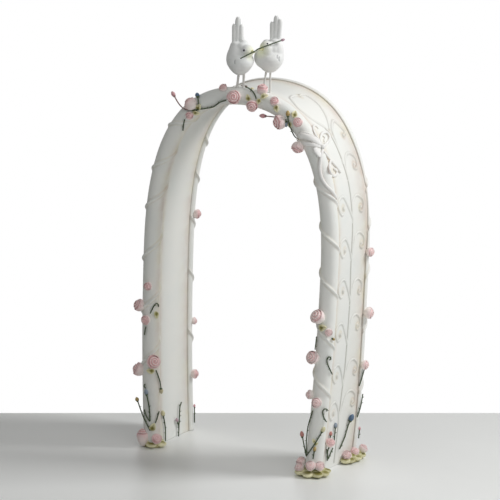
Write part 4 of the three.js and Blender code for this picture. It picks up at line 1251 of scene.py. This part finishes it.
def bird_body(name, bird):
    axes, origin = bird_axes(bird)
    mesh = melted(body_form(bird))
    points, normals = point_values(mesh, "co") / MM, point_values(mesh, "normal")
    local = (points - origin) @ axes.T
    shade = BELLY_SHADE * np.clip((-local[:, 2] - BELLY_FROM) / BELLY_FADE, 0, 1)
    groove = np.zeros(len(points))
    right, up, back = np.array([VIEW_RIGHT, VIEW_UP, VIEW_BACK]) @ (points - origin).T
    for mark_right, mark_up, length in bird["marks"]:
        above = up - mark_up
        off = np.hypot(right - mark_right - 0.12 * above**2, (np.abs(above) - length / 2).clip(0))
        groove = np.maximum(groove, bell(off, MARK_WIDTH) * (back > 0))
    points = points - normals * (MARK_DEPTH * groove)[:, None]
    mesh.vertices.foreach_set("co", (points * MM).reshape(-1))
    fx, fz = bird["head"]
    snout = np.array([fx, 0, fz - 0.5]) + turned(bird["gaze"] - bird["heading"])[0] * HEAD_RADIUS
    off = np.linalg.norm(local - snout, axis=1) / bird["face"]
    face = np.clip(FACE_REACH - off, 0, 1) * FACE_STRENGTH
    # Tone holds the painted shade under the belly and the dark paint in the wing grooves
    paint_points(mesh, "tone", np.maximum(shade, groove))
    paint_points(mesh, "face", face)
    mesh.shade_smooth()
    piece(name + "_body", mesh, BIRD, "bird_white", name)


def bird_head(name, bird):
    """Beak and eyes."""
    fx, fz = bird["head"]
    gaze = turned(bird["gaze"])
    middle = bird_point(bird, fx, 0, fz)
    beak = Shape()
    tip = beak_tip(bird)
    root = middle + unit(gaze[0] + unit(tip - middle)) * HEAD_RADIUS / 2 - Z_AXIS * 0.3
    path = smooth_route([root, (root + tip) / 2 + Z_AXIS * 0.35, tip], 6)
    sweep(beak, path, np.linspace(1.75, 0.3, len(path)), 14, tone=np.linspace(0.2, 0.8, len(path)))
    piece(name + "_beak", beak, BEAK, "bird_white")
    disc, pupil = ball(10, 0.06), bird["pupil"]
    for i, side in enumerate((-1, 1)):
        away = unit(np.array([1, side, 1]) * np.array(bird["eye"])) @ gaze
        seat = middle + away * (HEAD_RADIUS - EYE_SUNK)
        for part, (paint, proud, share, deep, sides, tone) in EYE_PARTS.items():
            shape = Shape()
            lathe(shape, seat + away * proud, away, disc * np.array([share * pupil, deep]), sides, tone)
            piece(f"{name}_{part}_{i + 1}", shape, paint, "bird_white")


def feather(shape, bird, middle, tip, half, grooves, spread=0.0):
    """One feather of the raised tail; grooves says which of its two edges meet another feather and get
    painted shade.
    """
    axes, origin = bird_axes(bird)
    flat, side, _ = turned(bird["tail_turn"])
    t, u = sheet(26, 11)
    width = half * np.sqrt(np.clip(1 - ((t - 0.86) / 0.142).clip(0) ** 2.2, 0.002, 1)) * (0.85 + 0.15 * t)
    across = middle * (0.78 + 0.22 * t) + u * width + spread * (1 - t) ** 2 * (u + 1) / 2
    height = TAIL_BASE + (tip - TAIL_BASE) * t + 0 * u
    bulge = -0.7 * u**2 - 0.4 * t**2
    local = side * across[..., None] + Z_AXIS * height[..., None] + flat * bulge[..., None]
    local = local - X_AXIS * bird["tail_back"]
    # Painted shade along the edges that meet another feather
    edge = np.where(u < 0, grooves[0], grooves[1]) * ((np.abs(u) - 0.45) / 0.3).clip(0, 1)
    thickness = FEATHER_THICKNESS * (1 - 0.6 * np.abs(u) ** 3) + 0 * t
    shell(shape, local @ axes + origin, thickness, edge * (1 - 0.6 * t**3))


def bird_tail(name, bird):
    tail = Shape()
    tip, side = bird["tail_tip"], bird["side_feather"]
    left_tip, right_tip = tip * np.array(bird["side_tips"])
    feather(tail, bird, -side, left_tip, FEATHER_HALF, (0, 1))
    feather(tail, bird, side, right_tip, FEATHER_HALF, (1, 0), bird["tail_spread"])
    feather(tail, bird, 0.0, tip, MIDDLE_HALF, (1, 1))
    piece(name + "_tail", tail, BIRD, "bird_white")


def bird_legs():
    for name, (owner, foot, hip) in LEGS.items():
        bird = BIRDS[owner]
        perch, across = ("roll", 0) if owner == "left_bird" else ("outside", ROLL_Y + bird["across"])
        low = spot(perch, bird["station"] + foot, across, 0)[0]
        drop = math.sqrt(1 - (hip / BODY_RADIUS) ** 2) * BODY_BELLY
        high = bird_axes(bird)[1] + X_AXIS * hip - Z_AXIS * drop
        reach = unit(high - low) * LEG_SOCKET
        shape = Shape()
        path = smooth_route([low - reach, high + reach], 14)
        thick = LEG_RADIUS[owner] + LEG_WAVE * np.sin(np.linspace(0, 9, len(path)))
        sweep(shape, path, thick, 12, tone=0.5)
        glue = smooth_route([low + reach * 0.35, low - reach * 0.1], 4)
        sweep(shape, glue, np.linspace(*GLUE_RADII, len(glue)), 12, tone=0.6)
        piece(name + "_wire", shape, LEG, "leg_wire", name)


def held_flower():
    left, right = map(beak_tip, BIRDS.values())
    over = Z_AXIS * WIRE_LIFT
    path = smooth_route([left + HELD_ROOT, left + over, right + over, right + HELD_TIP], 8)
    wires = Shape()
    sweep(wires, path, WIRE_RADIUS, 8, tone=0.35)
    piece("beak_flower_wire", wires, STEM, "stem_green", "beak_flower_stem")
    head = Shape()
    along = unit(path[-1] - path[-4])
    bud(head, path[-1] - along * 1.2, along, 0.8, 2.6)
    piece("beak_flower_bud", head, BUDS["mauve"], "stem_green")


arch_skin()
ribbon_bow()
roses()
garland_leaves()
beds()
stems()
for bird_name, bird_facts in BIRDS.items():
    bird_body(bird_name, bird_facts)
    bird_head(bird_name, bird_facts)
    bird_tail(bird_name, bird_facts)
bird_legs()
held_flower()


# Floor, light and camera

# Two points of the table's far edge, how far it goes on past them and towards the camera, and its thickness
TABLE_EDGE = np.array([[-159.5, -10.7], [85.1, 163.2]])
TABLE_PAST, TABLE_DEPTH, TABLE_THICKNESS = 1500, 3000, 20
# Each lamp's place, its power in watts and its width in metres, and the spot that they all light
LAMPS = {
    "key": ((456, 213, 596), 2.9, 0.2), "fill": ((350, -250, 300), 0.43, 0.35),
    "top": ((-120, -260, 620), 0.52, 0.45),
}
LIGHT_TARGET = (0, 0, 110)
STUDIO_LIGHT, STUDIO_TINT = 0.12, (1, 1, 0.93, 1)
SENSOR_WIDTH, CLIP_END = 36, 20


def floor():
    far_left, far_right = TABLE_EDGE
    along = unit(far_right - far_left)
    near = np.array([along[1], -along[0]]) * TABLE_DEPTH
    left, right = far_left - along * TABLE_PAST, far_right + along * TABLE_PAST
    corners = (left, right, right + near, left + near)
    points = [(x, y, z) for z in (0.0, -TABLE_THICKNESS) for x, y in corners]
    faces = [(3, 2, 1, 0), (4, 5, 6, 7)] + [(i, (i + 1) % 4, (i + 1) % 4 + 4, i + 4) for i in range(4)]
    mesh = bpy.data.meshes.new("table")
    mesh.from_pydata((np.array(points) * MM).tolist(), [], faces)
    paint = Paint("table_grey", 0.36, 0.35)
    colour = paint.ramp(paint.noise(9), (0.3, (0.81, 0.82, 0.81)), (0.7, (0.84, 0.85, 0.84)))
    mesh.materials.append(paint.done(colour))
    obj = placed("table", mesh)


def lamp(name, where, power, size):
    data = bpy.data.lights.new(name, "AREA")
    data.energy = power
    data.size = size
    obj = placed(name, data)
    obj.location = Vector(where) * MM
    obj.rotation_euler = (Vector(LIGHT_TARGET) - Vector(where)).to_track_quat("-Z", "Y").to_euler()


def world():
    """A white background to the camera, and a dimmer, warmer light from all sides."""
    data = bpy.data.worlds.new("studio")
    bpy.context.scene.world = data
    data.use_nodes = True
    tree = data.node_tree
    background = tree.nodes["Background"]
    path = add_node(tree, "LightPath")
    seen = path.outputs["Is Camera Ray"]
    for kind in ("Is Glossy Ray", "Is Transmission Ray"):
        more = add_node(tree, "Math")
        more.operation = "MAXIMUM"
        tree.links.new(seen, more.inputs[0])
        tree.links.new(path.outputs[kind], more.inputs[1])
        seen = more.outputs[0]
    level = add_node(tree, "MapRange")
    level.inputs["To Min"].default_value = STUDIO_LIGHT
    level.inputs["To Max"].default_value = 1.0
    tree.links.new(seen, level.inputs["Value"])
    tree.links.new(level.outputs["Result"], background.inputs["Strength"])
    colour = add_node(tree, "Mix")
    colour.data_type = "RGBA"
    colour.inputs["A"].default_value = STUDIO_TINT
    colour.inputs["B"].default_value = (1, 1, 1, 1)
    tree.links.new(seen, colour.inputs["Factor"])
    tree.links.new(colour.outputs["Result"], background.inputs["Color"])


def camera():
    data = bpy.data.cameras.new("camera")
    data.sensor_width = SENSOR_WIDTH
    data.lens = FOCAL * SENSOR_WIDTH / (2 * PICTURE_MIDDLE)
    data.clip_end = CLIP_END
    obj = placed("camera", data)
    rows = [(VIEW_RIGHT[i], VIEW_UP[i], VIEW_BACK[i], EYE[i] * MM) for i in range(3)]
    obj.matrix_world = Matrix(rows + [(0, 0, 0, 1)])
    bpy.context.scene.camera = obj


floor()
for lamp_name, lamp_facts in LAMPS.items():
    lamp(lamp_name, *lamp_facts)
world()
camera()
bpy.context.scene.view_settings.view_transform = "Standard"
